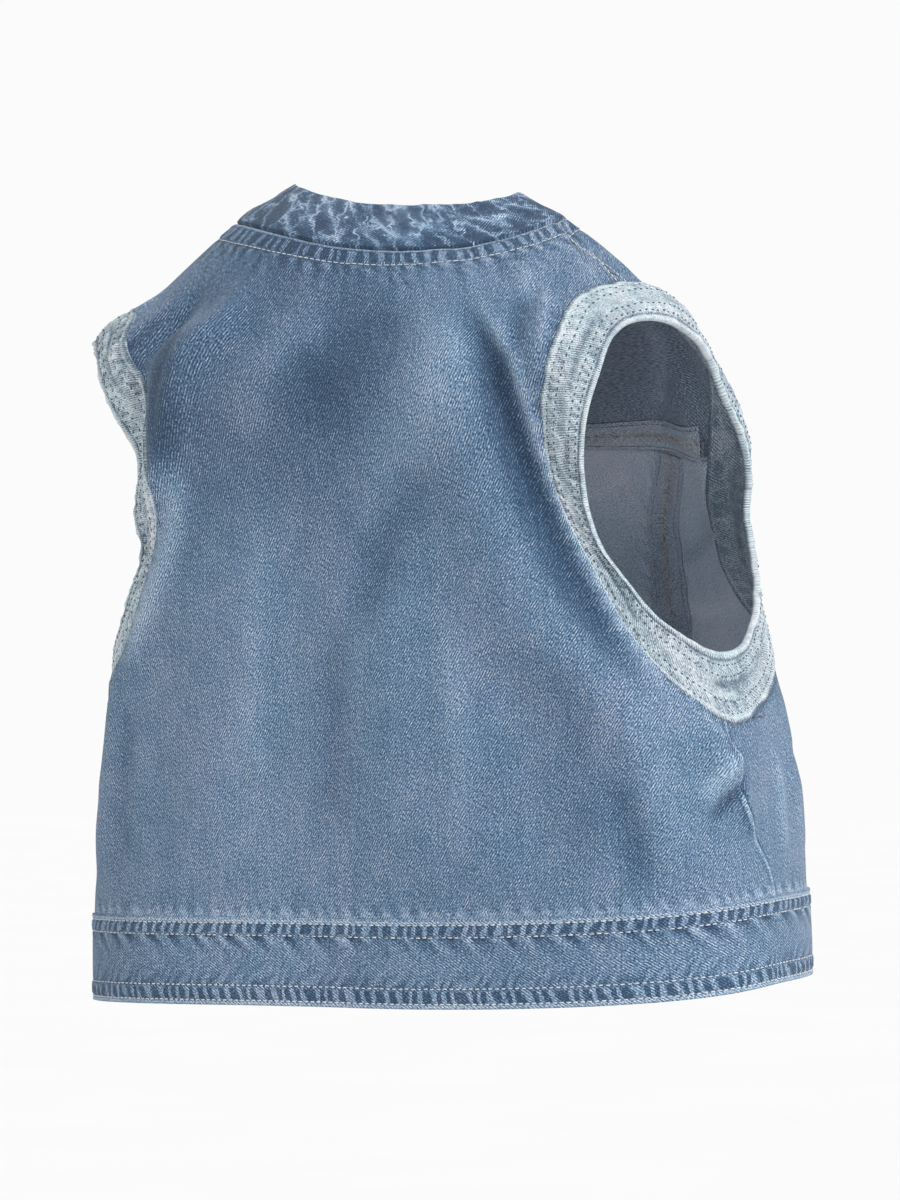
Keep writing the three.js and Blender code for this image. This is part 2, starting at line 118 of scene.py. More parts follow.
# Rings of the body: half widths and depths about the ring's centre, heights of its four sides,
# how far its back half twists up on the left and down on the right, and how boxy its back and
# front halves are.
RING_NAMES = (
    "up", "right", "left", "back", "front", "aside", "forward", "back_z", "right_z", "left_z",
    "front_z", "twist", "back_square", "front_square",
)
RINGS = np.array([
    (-0.13, 165, 164, 76, 84, 0, 29, -323, -314, -329, -315, 0, 3.0, 2.7),
    (0.00, 164, 163, 76, 84, 0, 29, -286, -278, -290, -279, 0, 3.0, 2.7),
    (0.24, 159, 156, 75, 83, 0, 29, -220, -218, -222, -216, 0, 3.0, 2.7),
    (0.42, 147, 148, 76, 80, 0, 30, -170, -168, -170, -172, 0, 3.0, 2.7),
    (0.62, 138, 139, 76, 78, 0, 29, -113, -108, -110, -120, 0, 2.9, 2.7),
    (0.80, 136, 148, 66, 68, -2, 4, -60, -37, -36, -84, 2, 2.6, 2.4),
    (0.90, 109, 111, 56, 58, -2, -1, -32, -14, -17, -66, 8, 2.4, 2.2),
    (1.00, 80, 72, 47, 50, 0, 0, -4, 5, 8, -50, 14, 2.2, 2.0),
    (1.10, 58, 45, 33, 36, 0, 4, 15, 17, 25, -34, 8, 2.2, 2.0),
])
RING_UP = RINGS[:, 0]

# The armhole band from the shoulder down the back to the underarm and up the front:
# around and up of its open edge, then of its seam.
ARMHOLE = np.array([
    (67, 0.803, 69, 0.864),
    (56.5, 0.795, 55, 0.858),
    (50, 0.750, 44.5, 0.808),
    (46, 0.700, 39.5, 0.745),
    (44.5, 0.630, 38, 0.670),
    (45.5, 0.560, 39.5, 0.600),
    (50, 0.500, 43.5, 0.520),
    (57, 0.435, 51, 0.395),
    (70, 0.391, 68, 0.292),
    (88, 0.400, 92, 0.318),
    (103, 0.452, 113, 0.385),
    (112, 0.515, 127, 0.480),
    (115, 0.580, 132, 0.580),
    (114, 0.655, 130, 0.670),
    (108, 0.722, 120, 0.768),
    (88, 0.772, 97, 0.836),
])

# Folds and creases: around and up of the start, the bend and the end, then the width and the
# height in millimetres. A hollow has a height below zero. FOLDS are those of the solids.
FOLDS = (
    (-23, 0.94, -27, 0.76, -52, 0.54, 11, 9),
    (-41, 0.93, -37, 0.80, -45, 0.60, 9, -8),
    (32, 0.93, 32, 0.60, 62, 0.27, 11, -6),
    (20, 0.88, 21, 0.54, 52, 0.22, 16, 4.5),
    (58, 0.27, 68, 0.22, 73, 0.08, 9, 5),
    (-12, 0.66, -10, 0.32, -13, 0.03, 22, -2.6),
    (7, 0.56, 9, 0.28, 6, 0.03, 20, 2.4),
    (28, 0.44, 31, 0.22, 29, 0.02, 14, -3),
    (43, 0.36, 48, 0.19, 50, 0.03, 9, 3),
    (-34, 0.52, -36, 0.26, -36, 0.03, 16, -2.6),
    (-51, 0.44, -54, 0.22, -54, 0.03, 12, 2.8),
    (-74, 0.26, -78, 0.14, -76, 0.03, 12, -3),
    (78, 0.97, 97, 0.86, 124, 0.74, 16, -9),
    (110, 0.84, 119, 0.76, 115, 0.58, 11, 6),
    (132, 0.88, 138, 0.64, 124, 0.40, 14, -6),
    (154, 0.72, 150, 0.44, 132, 0.20, 16, 4),
    (100, 0.27, 108, 0.17, 106, 0.03, 12, 2),
    (163, 0.60, 161, 0.34, 163, 0.05, 13, -2.8),
    (-80, 0.97, -98, 0.87, -122, 0.74, 14, -3.5),
    (-111, 0.83, -118, 0.75, -116, 0.58, 11, 5),
    (-131, 0.89, -139, 0.63, -125, 0.41, 14, -5.5),
    (-156, 0.74, -149, 0.40, -137, 0.16, 15, 3.8),
    (-108, 0.28, -116, 0.15, -112, 0.03, 13, 3.4),
    (-164, 0.55, -160, 0.30, -162, 0.06, 12, -2.5),
)
CREASES = (
    # Beside the right armhole band
    (36, 0.94, 29, 0.64, 57, 0.30, 4.2, 3.4),
    (31, 0.92, 29, 0.62, 51, 0.32, 6.5, -5.0),
    (54, 0.91, 44, 0.84, 36, 0.75, 2.8, 2.0),
    (50, 0.87, 43, 0.82, 37, 0.76, 2.4, -1.5),
    (46, 0.89, 39, 0.85, 33, 0.78, 3.4, -1.6),
    (60, 0.95, 50, 0.93, 44, 0.88, 4.0, 1.3),
    (88, 0.976, 76, 0.945, 67, 0.895, 2.2, -1.6),
    (80, 0.955, 70, 0.92, 62, 0.86, 3.4, 1.2),
    # Down the back from the neck
    (20, 0.92, 5, 0.84, -10, 0.74, 17, -1.5),
    (33, 0.90, 17, 0.76, 3, 0.55, 15, 1.7),
    (18, 0.70, 8, 0.60, 1, 0.40, 9, -1.4),
    (-2, 0.93, -12, 0.82, -20, 0.70, 13, 1.2),
    (16.5, 0.976, 16.5, 0.95, 18, 0.92, 1.7, -0.9),
    (20, 0.975, 20, 0.95, 21, 0.925, 1.5, -0.6),
    (-1, 0.975, -2, 0.955, -3.5, 0.93, 1.7, 0.6),
    (-13, 0.975, -13, 0.96, -12, 0.94, 1.8, -0.5),
    (37, 0.972, 36, 0.955, 34, 0.93, 1.8, -0.7),
    (48, 0.968, 47, 0.95, 44, 0.93, 2.0, -0.8),
    (57, 0.965, 56, 0.945, 53, 0.92, 2.6, -1.0),
    # Long soft ones low on the back
    (-17, 0.66, -19, 0.42, -19, 0.16, 8, 0.7),
    (36, 0.42, 37, 0.25, 36, 0.05, 7, -0.8),
    (40, 0.23, 44, 0.13, 44.5, 0.01, 6, -1.5),
    (-2, 0.50, -4, 0.30, -3, 0.10, 7, -0.9),
    (18, 0.48, 20, 0.30, 17, 0.06, 6, 0.8),
    (-45, 0.36, -46, 0.20, -44, 0.03, 6, -0.9),
    (-62, 0.42, -64, 0.20, -63, 0.04, 7, -1.2),
    # The fold over the right side seam
    (73, 0.212, 66, 0.172, 58, 0.13, 3.0, -2.8),
    (71, 0.245, 64, 0.215, 56, 0.165, 4.2, 2.6),
    (69, 0.207, 63, 0.184, 56, 0.150, 1.6, 0.5),
    (60, 0.31, 63, 0.272, 70, 0.245, 2.4, 1.2),
    (66, 0.285, 67, 0.255, 72, 0.225, 2.2, -0.8),
    # The dark hollow beside the left armhole band
    (-62, 0.92, -57, 0.84, -52, 0.74, 4.5, 1.6),
    (-46, 0.90, -43, 0.82, -47, 0.72, 4.0, -1.6),
    (-35, 0.91, -23, 0.80, -41, 0.62, 3.0, 0.9),
    (-34, 0.86, -28, 0.77, -38, 0.66, 7.0, -4.0),
    (-32, 0.72, -36, 0.56, -49, 0.36, 6.0, 2.6),
    # The fronts, which the wearer's chest and the buttons pull in the same way
    (126, 0.88, 134, 0.80, 146, 0.76, 5, 1.6),
    (128, 0.60, 138, 0.55, 152, 0.53, 5, -1.3),
    (126, 0.47, 140, 0.44, 160, 0.45, 6, 1.3),
    (100, 0.24, 118, 0.20, 138, 0.22, 6, -1.2),
    (146, 0.30, 156, 0.20, 158, 0.04, 7, 1.3),
    (120, 0.20, 124, 0.12, 122, 0.02, 7, -1.2),
    (92, 0.26, 94, 0.16, 92, 0.04, 6, 1.2),
    (168, 0.66, 160, 0.67, 152, 0.70, 3.4, 0.8),
    (168, 0.43, 160, 0.42, 150, 0.39, 3.4, -0.8),
    (168, 0.21, 158, 0.23, 146, 0.26, 3.6, 0.8),
    (-126, 0.86, -136, 0.79, -147, 0.76, 5, 1.5),
    (-127, 0.58, -139, 0.56, -154, 0.54, 5, -1.2),
    (-124, 0.45, -139, 0.41, -157, 0.43, 6, 1.4),
    (-98, 0.22, -116, 0.21, -136, 0.19, 6, -1.2),
    (-147, 0.28, -155, 0.18, -156, 0.04, 7, 1.2),
    (-121, 0.22, -125, 0.13, -123, 0.02, 7, -1.1),
    (-90, 0.28, -92, 0.17, -91, 0.04, 6, 1.3),
    (-168, 0.87, -160, 0.86, -150, 0.83, 3.4, -0.8),
    (-168, 0.64, -160, 0.62, -151, 0.62, 3.4, 0.8),
    (-168, 0.22, -159, 0.19, -148, 0.17, 3.6, -0.8),
)
FOLD_STEPS = 10
FOLD_FADE = 0.28
FOLD_REACH = 3.0


# ---------------------------------------------------------------------------- shaping in numbers


def smooth(share):
    share = np.clip(share, 0.0, 1.0)
    return share * share * (3.0 - 2.0 * share)


def mix(low, high, share):
    return low + (high - low) * share


def hill(distance, width):
    return np.exp(-((distance / width) ** 2))


def steps(low, high, count):
    return np.linspace(low, high, count + 1)


def window(place, low, high):
    """1 between low and high, with soft edges just inside them."""
    return smooth((place - low) / STRIP_EDGE) * smooth((high - place) / STRIP_EDGE)


def tail_below(drop, length):
    """1 just below a row of stitches, dying away further down, and 0 above it."""
    return np.where(drop > 0.0, np.exp(-np.clip(drop, 0.0, None) / length), 0.0)


def lattice(x, y, seed):
    """A number from 0 to 1 for each whole x and y. Another seed gives other numbers."""
    wave = np.sin(x * 127.1 + y * 311.7 + seed * 74.7) * 43758.5453
    return wave - np.floor(wave)


def cloud(x, y, seed):
    """Smooth noise from -1 to 1 with one lump for each unit of x and y."""
    x, y = np.broadcast_arrays(np.asarray(x, float), np.asarray(y, float))
    left, low = np.floor(x), np.floor(y)
    across, rise = smooth(x - left), smooth(y - low)
    below = mix(lattice(left, low, seed), lattice(left + 1, low, seed), across)
    above = mix(lattice(left, low + 1, seed), lattice(left + 1, low + 1, seed), across)
    return 2.0 * mix(below, above, rise) - 1.0


def veins(x, y, seed):
    """Thin crossing ridges, 1 on a ridge and 0 between, one cell for each unit of x and y."""
    left, low = np.floor(x), np.floor(y)
    near = np.full(np.shape(x), 9.0)
    second = near.copy()
    for side in (-1, 0, 1):
        for rise in (-1, 0, 1):
            cell_x, cell_y = left + side, low + rise
            gap_x = cell_x + 0.1 + 0.8 * lattice(cell_x, cell_y, seed) - x
            gap_y = cell_y + 0.1 + 0.8 * lattice(cell_x, cell_y, seed + 1) - y
            distance = np.hypot(gap_x, gap_y)
            second = np.minimum(second, np.maximum(near, distance))
            near = np.minimum(near, distance)
    return hill(second - near, 0.2)


def puckers(run, period, seed):
    """Uneven ripples along a seam, from -1 in a hollow to 1 on a ridge."""
    drift = 0.7 * cloud(run / (2.3 * period), 0.5, seed)
    wave = np.sin(2.0 * math.pi * (run / period + drift))
    strength = 0.75 + 0.25 * cloud(run / (3.1 * period), 7.5, seed + 1)
    return np.tanh(2.0 * wave + 0.3) * strength


def slopes(rows):
    rise = np.empty_like(rows)
    rise[1:-1] = (rows[2:] - rows[:-2]) / (rows[2:, :1] - rows[:-2, :1])
    rise[0] = (rows[1] - rows[0]) / (rows[1, 0] - rows[0, 0])
    rise[-1] = (rows[-1] - rows[-2]) / (rows[-1, 0] - rows[-2, 0])
    return rise


RING_SLOPES = slopes(RINGS)


def ring_at(up):
    up = np.asarray(up, float)
    i = np.clip(np.searchsorted(RING_UP, up, side="right") - 1, 0, len(RINGS) - 2)
    span = (RING_UP[i + 1] - RING_UP[i])[..., None]
    s = (up[..., None] - RING_UP[i][..., None]) / span
    value = (
        (2 * s**3 - 3 * s**2 + 1) * RINGS[i]
        + (s**3 - 2 * s**2 + s) * span * RING_SLOPES[i]
        + (3 * s**2 - 2 * s**3) * RINGS[i + 1]
        + (s**3 - s**2) * span * RING_SLOPES[i + 1]
    )
    return {name: value[..., k] for k, name in enumerate(RING_NAMES)}


def body_point(around, up):
    around, up = np.broadcast_arrays(np.asarray(around, float), np.asarray(up, float))
    ring = ring_at(up)
    s, c = np.sin(np.radians(around)), np.cos(np.radians(around))
    square = np.where(c > 0, ring["back_square"], ring["front_square"])
    reach = (np.abs(s) ** square + np.abs(c) ** square) ** (-1.0 / square)
    width = np.where(s > 0, ring["right"], ring["left"])
    depth = np.where(c > 0, ring["back"], ring["front"])
    side_z = np.where(s > 0, ring["right_z"], ring["left_z"])
    middle_z = np.where(c > 0, ring["back_z"], ring["front_z"])
    return np.stack([
        ring["aside"] - width * s * reach,
        depth * c * reach - ring["forward"],
        side_z * s * s + middle_z * c * c - ring["twist"] * s * c,
    ], -1)


ARC_AROUND = np.arange(-195.0, 196.0)


def arc_run(up):
    """Millimetres round the body from the centre back, for each whole degree of around."""
    points = body_point(ARC_AROUND, up)
    run = np.concatenate([[0.0], np.cumsum(np.linalg.norm(np.diff(points, axis=0), axis=-1))])
    return run - np.interp(0.0, ARC_AROUND, run)


MIDDLE_UP = 0.3
BODY_RUN = arc_run(MIDDLE_UP)
NECK_RUN = arc_run(0.99)
NECKBAND_RUN = arc_run(1.05)
HEM_RUN = arc_run(-0.06)


def run_at(table, around):
    return np.interp(around, ARC_AROUND, table)


def normal_of(surface, around, up):
    across = surface(around + 0.5, up) - surface(around - 0.5, up)
    along = surface(around, up + 0.004) - surface(around, up - 0.004)
    normal = np.cross(across, along)
    return normal / np.linalg.norm(normal, axis=-1, keepdims=True)


def nearest_on_line(line, x, y):
    """Distance from a line of points, and the place on it: its point's number and a share."""
    best = np.full(np.shape(x), np.inf)
    place = np.zeros(np.shape(x))
    for i, ((x0, y0), (x1, y1)) in enumerate(zip(line[:-1], line[1:])):
        dx, dy = x1 - x0, y1 - y0
        share = np.clip(((x - x0) * dx + (y - y0) * dy) / (dx * dx + dy * dy), 0.0, 1.0)
        distance = np.hypot(x - x0 - share * dx, y - y0 - share * dy)
        closer = distance < best
        best = np.where(closer, distance, best)
        place = np.where(closer, i + share, place)
    return best, place


def nearest_on_seam(name, x, y):
    """Distance from a seam, and the share and the millimetres of its run at the nearest place."""
    line = SEAM_LINES[name]
    distance, place = nearest_on_line(line, np.abs(x), y)
    starts = np.concatenate([[0.0], np.cumsum(np.hypot(*np.diff(line, axis=0).T))])
    run = np.interp(place, np.arange(len(line)), starts)
    return distance, run / starts[-1], run


def fold_height(folds, around, up):
    """How far folds lift the cloth, each in a bow from its start to its end past its bend."""
    around, up = np.broadcast_arrays(np.asarray(around, float), np.asarray(up, float))
    x, y = MM_PER_DEGREE * around, MM_PER_UP * up
    height = np.zeros(x.shape)
    s = np.linspace(0.0, 1.0, FOLD_STEPS + 1)
    shares = np.stack([(1 - s) ** 2, 2 * s * (1 - s), s * s])
    for a0, u0, a1, u1, a2, u2, width, rise in folds:
        line_x = MM_PER_DEGREE * (np.array([a0, a1, a2]) @ shares)
        line_y = MM_PER_UP * (np.array([u0, u1, u2]) @ shares)
        reach = FOLD_REACH * width
        near = (
            (x > line_x.min() - reach) & (x < line_x.max() + reach)
            & (y > line_y.min() - reach) & (y < line_y.max() + reach)
        )
        if near.any():
            distance, place = nearest_on_line(np.stack([line_x, line_y], -1), x[near], y[near])
            along = place / FOLD_STEPS
            fade = smooth(along / FOLD_FADE) * smooth((1.0 - along) / FOLD_FADE)
            height[near] += rise * fade * hill(distance, width)
    return height


def cloth_point(around, up):
    around, up = np.broadcast_arrays(np.asarray(around, float), np.asarray(up, float))
    rise = fold_height(FOLDS, around, up)
    return body_point(around, up) + normal_of(body_point, around, up) * rise[..., None]


def armhole_at(turn, kind):
    """A point of the armhole's open edge or seam, by turn: 0 at the shoulder, 8 under the arm."""
    turn = np.asarray(turn, float)
    i = np.floor(turn).astype(int)
    s = (turn - i)[..., None]
    columns = ARMHOLE[:, :2] if kind == "open" else ARMHOLE[:, 2:]
    a, b, c, d = (columns[(i + k) % len(ARMHOLE)] for k in (-1, 0, 1, 2))
    value = 0.5 * (
        2 * b + (c - a) * s + (2 * a - 5 * b + 4 * c - d) * s**2 + (3 * b - a - 3 * c + d) * s**3
    )
    return value[..., 0], value[..., 1]


def side_seam(up):
    return mix(SIDE_SEAM_AT_HEM, SIDE_SEAM_AT_UNDERARM, smooth(np.asarray(up) / SIDE_SEAM_BEND_UP))


def front_seam(up):
    share = (np.asarray(up) - FRONT_SEAM_BEND_FROM_UP) / FRONT_SEAM_BEND_SPAN
    return mix(FRONT_SEAM_AT_HEM, FRONT_SEAM_AT_YOKE, smooth(share))


def yoke_seam_up(around):
    return YOKE_SEAM_UP + (np.abs(around) - YOKE_SEAM_FROM) * YOKE_SEAM_RISE


def turn_at_yoke():
    low, high = 11.0, 14.5
    for _ in range(30):
        middle = (low + high) / 2
        around, up = armhole_at(middle, "seam")
        low, high = (middle, high) if up < yoke_seam_up(around) else (low, middle)
    return low


YOKE_TURN = turn_at_yoke()
YOKE_CORNER_UP = float(yoke_seam_up(FRONT_SEAM_AT_YOKE))
YOKE_PLACKET_UP = float(yoke_seam_up(PLACKET_EDGE_AT_YOKE))
UNDERARM_UP = float(armhole_at(UNDERARM_TURN, "seam")[1])
SHOULDER_UP = float(armhole_at(0.0, "seam")[1])


def around_at_front(to_right, up):
    ring = ring_at(up)
    width = ring["right"] if to_right > 0 else ring["left"]
    return 180.0 - np.degrees(np.arcsin(to_right / width))


def placket_edge_around(side, up):
    """Where the placket's edge lies on one side, counted from the centre back."""
    return 180.0 - side * (180.0 - around_at_front(side * PLACKET_WIDTH / 2, up))


def underlap(around, up):
    """How far the right front and the under ends of the bands lie behind the placket."""
    around, up = np.broadcast_arrays(np.asarray(around, float), np.asarray(up, float))
    to_right = ring_at(up)["aside"] - body_point(around, up)[..., 0]
    clear = np.where(around > 180.0, 0.0, to_right - PLACKET_WIDTH / 2)
    depth = -UNDERLAP_DEPTH * (1.0 - smooth(clear / UNDERLAP_RUN))
    return np.where(around < 90.0, 0.0, depth)


def no_underlap(around, up):
    return 0.0


def lift_on(side):
    """What sets a front back: only the wearer's right one lies behind the placket."""
    return underlap if side > 0 else no_underlap


def seam_line(around, up):
    """A line on the wearer's right, in millimetres of cloth."""
    return np.stack(np.broadcast_arrays(MM_PER_DEGREE * around, MM_PER_UP * up), -1)


SEAM_LINES = {
    "side": seam_line(side_seam(steps(0.0, UNDERARM_UP, 16)), steps(0.0, UNDERARM_UP, 16)),
    "armhole": seam_line(*armhole_at(steps(0.0, SHOULDER_TURN, 80), "seam")),
    "shoulder": seam_line(
        steps(float(armhole_at(0.0, "seam")[0]), SHOULDER_SEAM_AT_NECK, 6), steps(SHOULDER_UP, 1.0, 6)
    ),
    "front": seam_line(front_seam(steps(0.0, YOKE_CORNER_UP, 40)), steps(0.0, YOKE_CORNER_UP, 40)),
    "yoke": seam_line(
        np.array([YOKE_SEAM_FROM - 4, 180.0]), yoke_seam_up(np.array([YOKE_SEAM_FROM - 4, 180.0]))
    ),
}


# ------------------------------------------------------------------------------ pieces of cloth


class Cloth:
    """A laid stretch of cloth: both faces, the way out of it, its wash and wear marks and its painted shade.
    """

    def __init__(self, around, up, lift, wall, both=0.0, skin=0.0):
        base = cloth_point(around, up)
        self.out = normal_of(cloth_point, around, up)
        shape = self.out[..., 0].shape
        both, skin = np.broadcast_to(both, shape), np.broadcast_to(skin, shape)
        lift = np.broadcast_to(lift, shape)
        self.outer = base + self.out * (lift + wall / 2 + both + skin)[..., None]
        self.inner = base + self.out * (lift - wall / 2 + both + 0.25 * skin)[..., None]
        self.wall = wall
        self.fade = np.zeros(shape)
        self.painted_inside_shading = 0.0
        self.patch = np.zeros(shape)
        self.thread = np.zeros(shape + (2,))
        self.seam = (0.0, 0.0, 0.0)


def sewn_strip(distance, run, strip, period, height, seed):
    """How far a doubled strip stands up beside a seam, puckered up to its row of stitches."""
    near, far = strip
    inside = window(distance, near - STRIP_EDGE / 2, far + STRIP_EDGE / 2)
    return height * inside * (0.55 + 0.45 * puckers(run, period, seed))


PANEL_STRIPS = {
    # Its two edges, the period of its puckers and their seed
    "shoulder": ((1.4, 6.2), 4.6, 21),
    "front": ((1.4, 7.2), 7.0, 22),
    "yoke": ((1.4, 7.2), 6.4, 23),
}


def panel_cloth(around, up, sizes, seams=(), lift=0.0):
    """Cloth of the back and the fronts. seams name the edges whose strips this piece carries."""
    around, up = np.broadcast_arrays(np.asarray(around, float), np.asarray(up, float))
    x, y = MM_PER_DEGREE * around, MM_PER_UP * up
    creases = sizes.crease_share * fold_height(CREASES, around, up)
    lumps = 0.42 * cloud(x / 19, y / 27, 3) + 0.2 * cloud(x / 8, y / 10, 4)
    height = sizes.pucker_height / MM
    skin = np.zeros(around.shape)
    patch = np.zeros(around.shape)
    # Painted shade and highlight: the small creases darken the fade mark in their hollows and lighten it on
    # their ridges, partly the wear of washed denim and partly shade and light painted in. The cloud is uneven
    # washing.
    fade = 0.9 * np.tanh(creases / 2.6) + 0.1 * cloud(x / 42, y / 60, 5)

    drop = (1.0 - up) * NECK_MM_PER_UP
    nearest = np.full(around.shape, FAR_FROM_SEAMS)
    nearest_run = np.zeros(around.shape)
    if "neck" in seams:
        run = run_at(NECK_RUN, around)
        nearest, nearest_run = drop, run
        relief = sewn_strip(drop, run, NECK_STRIP, STRIP_PERIOD, height, 11)
        skin += relief + 0.45 * hill(drop - 0.9, 0.7) - 0.35 * hill(drop - NECK_ROW, 0.6)
        tail = tail_below(drop - NECK_ROW, 5.0)
        ripple = puckers(run + 0.12 * drop, 7.0, 12)
        skin += 0.55 * height * tail * ripple
        patch += 0.7 * tail * ripple
    reach = np.clip(up * MM_PER_UP, 0, None)
    edge = np.exp(-reach / 4.5)
    ripple = puckers(run_at(BODY_RUN, around) + 0.5 * up * MM_PER_UP, 7.5, 13)
    skin += height * 0.5 * edge * ripple * (up < 0.2)
    patch += (0.75 * hill(reach - 3.0, 2.2) * ripple + 0.55 * hill(reach - 1.0, 1.6)) * (up < 0.2)

    for name, (strip, period, seed) in PANEL_STRIPS.items():
        if name in seams:
            distance, _, run = nearest_on_seam(name, x, y)
            relief = sewn_strip(distance, run, strip, period, height, seed)
            skin += relief + 0.4 * hill(distance - 0.9, 0.8)
            nearest_run = np.where(distance < nearest, run, nearest_run)
            nearest = np.minimum(nearest, distance)
    if "side" in seams:
        distance, along, _ = nearest_on_seam("side", x, y)
        piping = hill(distance - 0.8, 1.0)
        skin += 0.7 * piping
        patch += 1.1 * piping - 0.55 * hill(distance - 3.6, 1.8) * (0.5 + cloud(along * 9, 0.5, 24))
    if "side_under" in seams:
        patch -= 0.75 * hill(nearest_on_seam("side", x, y)[0] - 0.6, 1.4)
    if "armhole" in seams:
        distance, along, run = nearest_on_seam("armhole", x, y)
        ripple = puckers(run, 9.0, 25)
        under = hill(np.abs(along - 0.5), 0.07)
        patch += hill(distance - 1.5, 2.6) * (0.35 * ripple - 0.9 * under)
        skin += 0.3 * height * hill(distance, 3.0) * ripple
    cloth = Cloth(around, up, lift, sizes.cloth / MM, creases + lumps, skin)
    # Painted shade: the upper back, a little to the wearer's left of the middle, is painted darker.
    upper_back_painted_shade = smooth((up - 0.52) / 0.3) * hill(around + 12.0, 38.0)
    # Painted shade and highlight: the big folds also darken the fade mark in their hollows and lighten it on
    # their ridges.
    cloth.fade = fade + 0.008 * np.clip(fold_height(FOLDS, around, up), -9, 9) - 0.5 * upper_back_painted_shade
    cloth.patch = patch
    # Painted shade and light inside the vest: the inner faces of the yokes are kept darker and those of the
    # other panels paler.
    cloth.painted_inside_shading = -0.9 if "yoke" in seams else 0.7
    wash = smooth((SEAM_WASH_REACH - nearest) / SEAM_WASH_FADE)
    cloth.seam = (nearest, nearest_run, wash)
    width = ring_at(up)["right"] / ring_at(MIDDLE_UP)["right"]
    cloth.thread = np.stack([run_at(BODY_RUN, around) * width, y], -1)
    return cloth


def armhole_cloth(turn, across, sizes, side):
    """Cloth of an armhole band. across is 0 at its seam and 1 at its open edge."""
    seam_around, seam_up = armhole_at(turn, "seam")
    open_around, open_up = armhole_at(turn, "open")
    around, up = mix(seam_around, open_around, across), mix(seam_up, open_up, across)
    run, depth = np.broadcast_arrays(turn * ARMHOLE_MM_PER_TURN, across * ARMHOLE_BAND_WIDTH)
    height = sizes.pucker_height / MM
    seed = 40 if side > 0 else 50
    dent = cloud(run / 9, depth / 5, seed) + 0.6 * cloud(run / 4, depth / 3, seed + 1)
    ripple = puckers(run + 0.5 * depth, 6.0, seed + 2)
    strips = sum(window(depth, *strip) for strip in ARMHOLE_STRIPS)
    soft = hill(depth - 12.5 - 2.2 * cloud(run / 30, 0.5, seed + 3), 1.6)
    ridge = veins((run + 0.7 * depth) / 9.0, depth / 7.0, seed + 6) - 0.3
    crease = -0.9 * soft * smooth(0.5 + cloud(run / 24, 3.5, seed + 4))
    skin = 0.25 * dent + 0.35 * ridge + 0.6 * height * strips * ripple + 1.3 * crease
    skin += 0.75 * hill(depth - 24.0, 1.3) - 0.5 * hill(depth - 21.9, 0.5)
    skin += 0.45 * hill(depth - 0.8, 0.8) - 0.25 * hill(depth - 2.4, 0.5)
    cloth = Cloth(side * around, up, 0.0, sizes.doubled_cloth / MM, 0.25 * dent, skin)
    # Painted shade: the band's inner face is kept darker.
    cloth.painted_inside_shading = -1.0
    strength = 0.8 if side > 0 else 1.3
    cloth.fade = 0.25 * cloud(run / 40, depth / 30, seed + 5)
    cloth.patch = strength * (0.4 * dent + 0.6 * ridge + 0.4 * strips * ripple) + crease
    cloth.patch += 0.7 * hill(depth - 24.2, 1.2) - 1.6 * hill(depth - 21.9, 0.5)
    cloth.patch += 0.5 * hill(depth - 0.9, 0.8) - 1.6 * hill(depth + 0.9, 0.7)
    cloth.thread = np.stack([run, depth], -1)
    return cloth


def neckband_cloth(around, up, sizes):
    around, up = np.broadcast_arrays(np.asarray(around, float), np.asarray(up, float))
    run, rise = run_at(NECKBAND_RUN, around), (up - 1.0) * NECKBAND_MM_PER_UP
    height = sizes.pucker_height / MM
    warp_x = (run + 0.45 * rise) / 11.0 + 0.25 * cloud(run / 8, rise / 8, 61)
    warp_y = rise / 25.0 + 0.2 * cloud(run / 9, rise / 7, 62)
    ridge = veins(warp_x, warp_y, 63) * (0.55 + 0.45 * cloud(run / 7, rise / 7, 64))
    dent = cloud(run / 10, rise / 8, 65)
    skin = 0.9 * height * ridge + 0.25 * dent - 0.45 * hill(rise, 1.0)
    lift = BAND_PROUD + underlap(around, up)
    cloth = Cloth(around, up, lift, sizes.doubled_cloth / MM, 0.3 * dent, skin)
    cloth.patch = 0.5 * dent - 1.3 * hill(rise, 1.4)
    cloth.patch += 0.7 * hill(rise - 30, 2.5) - 0.5 * hill(rise - 4.0, 2.5)
    cloth.fade = 0.1 * cloud(run / 40, 0.5, 66)
    cloth.thread = np.stack([run, rise], -1)
    return cloth


def hem_cloth(around, up, sizes):
    around, up = np.broadcast_arrays(np.asarray(around, float), np.asarray(up, float))
    run, depth = run_at(HEM_RUN, around), -up * MM_PER_UP
    height = sizes.pucker_height / MM
    top = sewn_strip(depth, run, HEM_STRIPS[0], STRIP_PERIOD, height, 71)
    low = sewn_strip(depth, run + 0.6 * depth, HEM_STRIPS[1], STRIP_PERIOD, height, 72)
    slant = puckers(run - 1.1 * (depth - 8.0), 13.0, 73)
    tail = tail_below(depth - 8.0, 3.6)
    lumps = 0.3 * cloud(run / 16, depth / 12, 74)
    rows = sum(hill(depth - row, 0.55) for row in HEM_ROWS)
    skin = top + low + 0.7 * height * tail * slant + 0.5 * hill(depth - 1.0, 0.9) - 0.3 * rows
    skin += 0.2 * hill(depth - 37.0, 0.8)
    lift = BAND_PROUD + underlap(around, up)
    cloth = Cloth(around, up, lift, sizes.doubled_cloth / MM, lumps, skin)
    cloth.patch = tail * (1.3 * slant - 0.3)
    is_top = depth < HEM_BAND_DEPTH / 2
    from_edge = np.where(is_top, depth - 0.8, (HEM_BAND_DEPTH - depth) * 0.83)
    cloth.seam = (from_edge, np.where(is_top, run, run + LOW_STRIP_SHIFT), 1.0)
    cloth.fade = 0.15 * cloud(run / 45, depth / 30, 75)
    cloth.thread = np.stack([run, depth], -1)
    return cloth


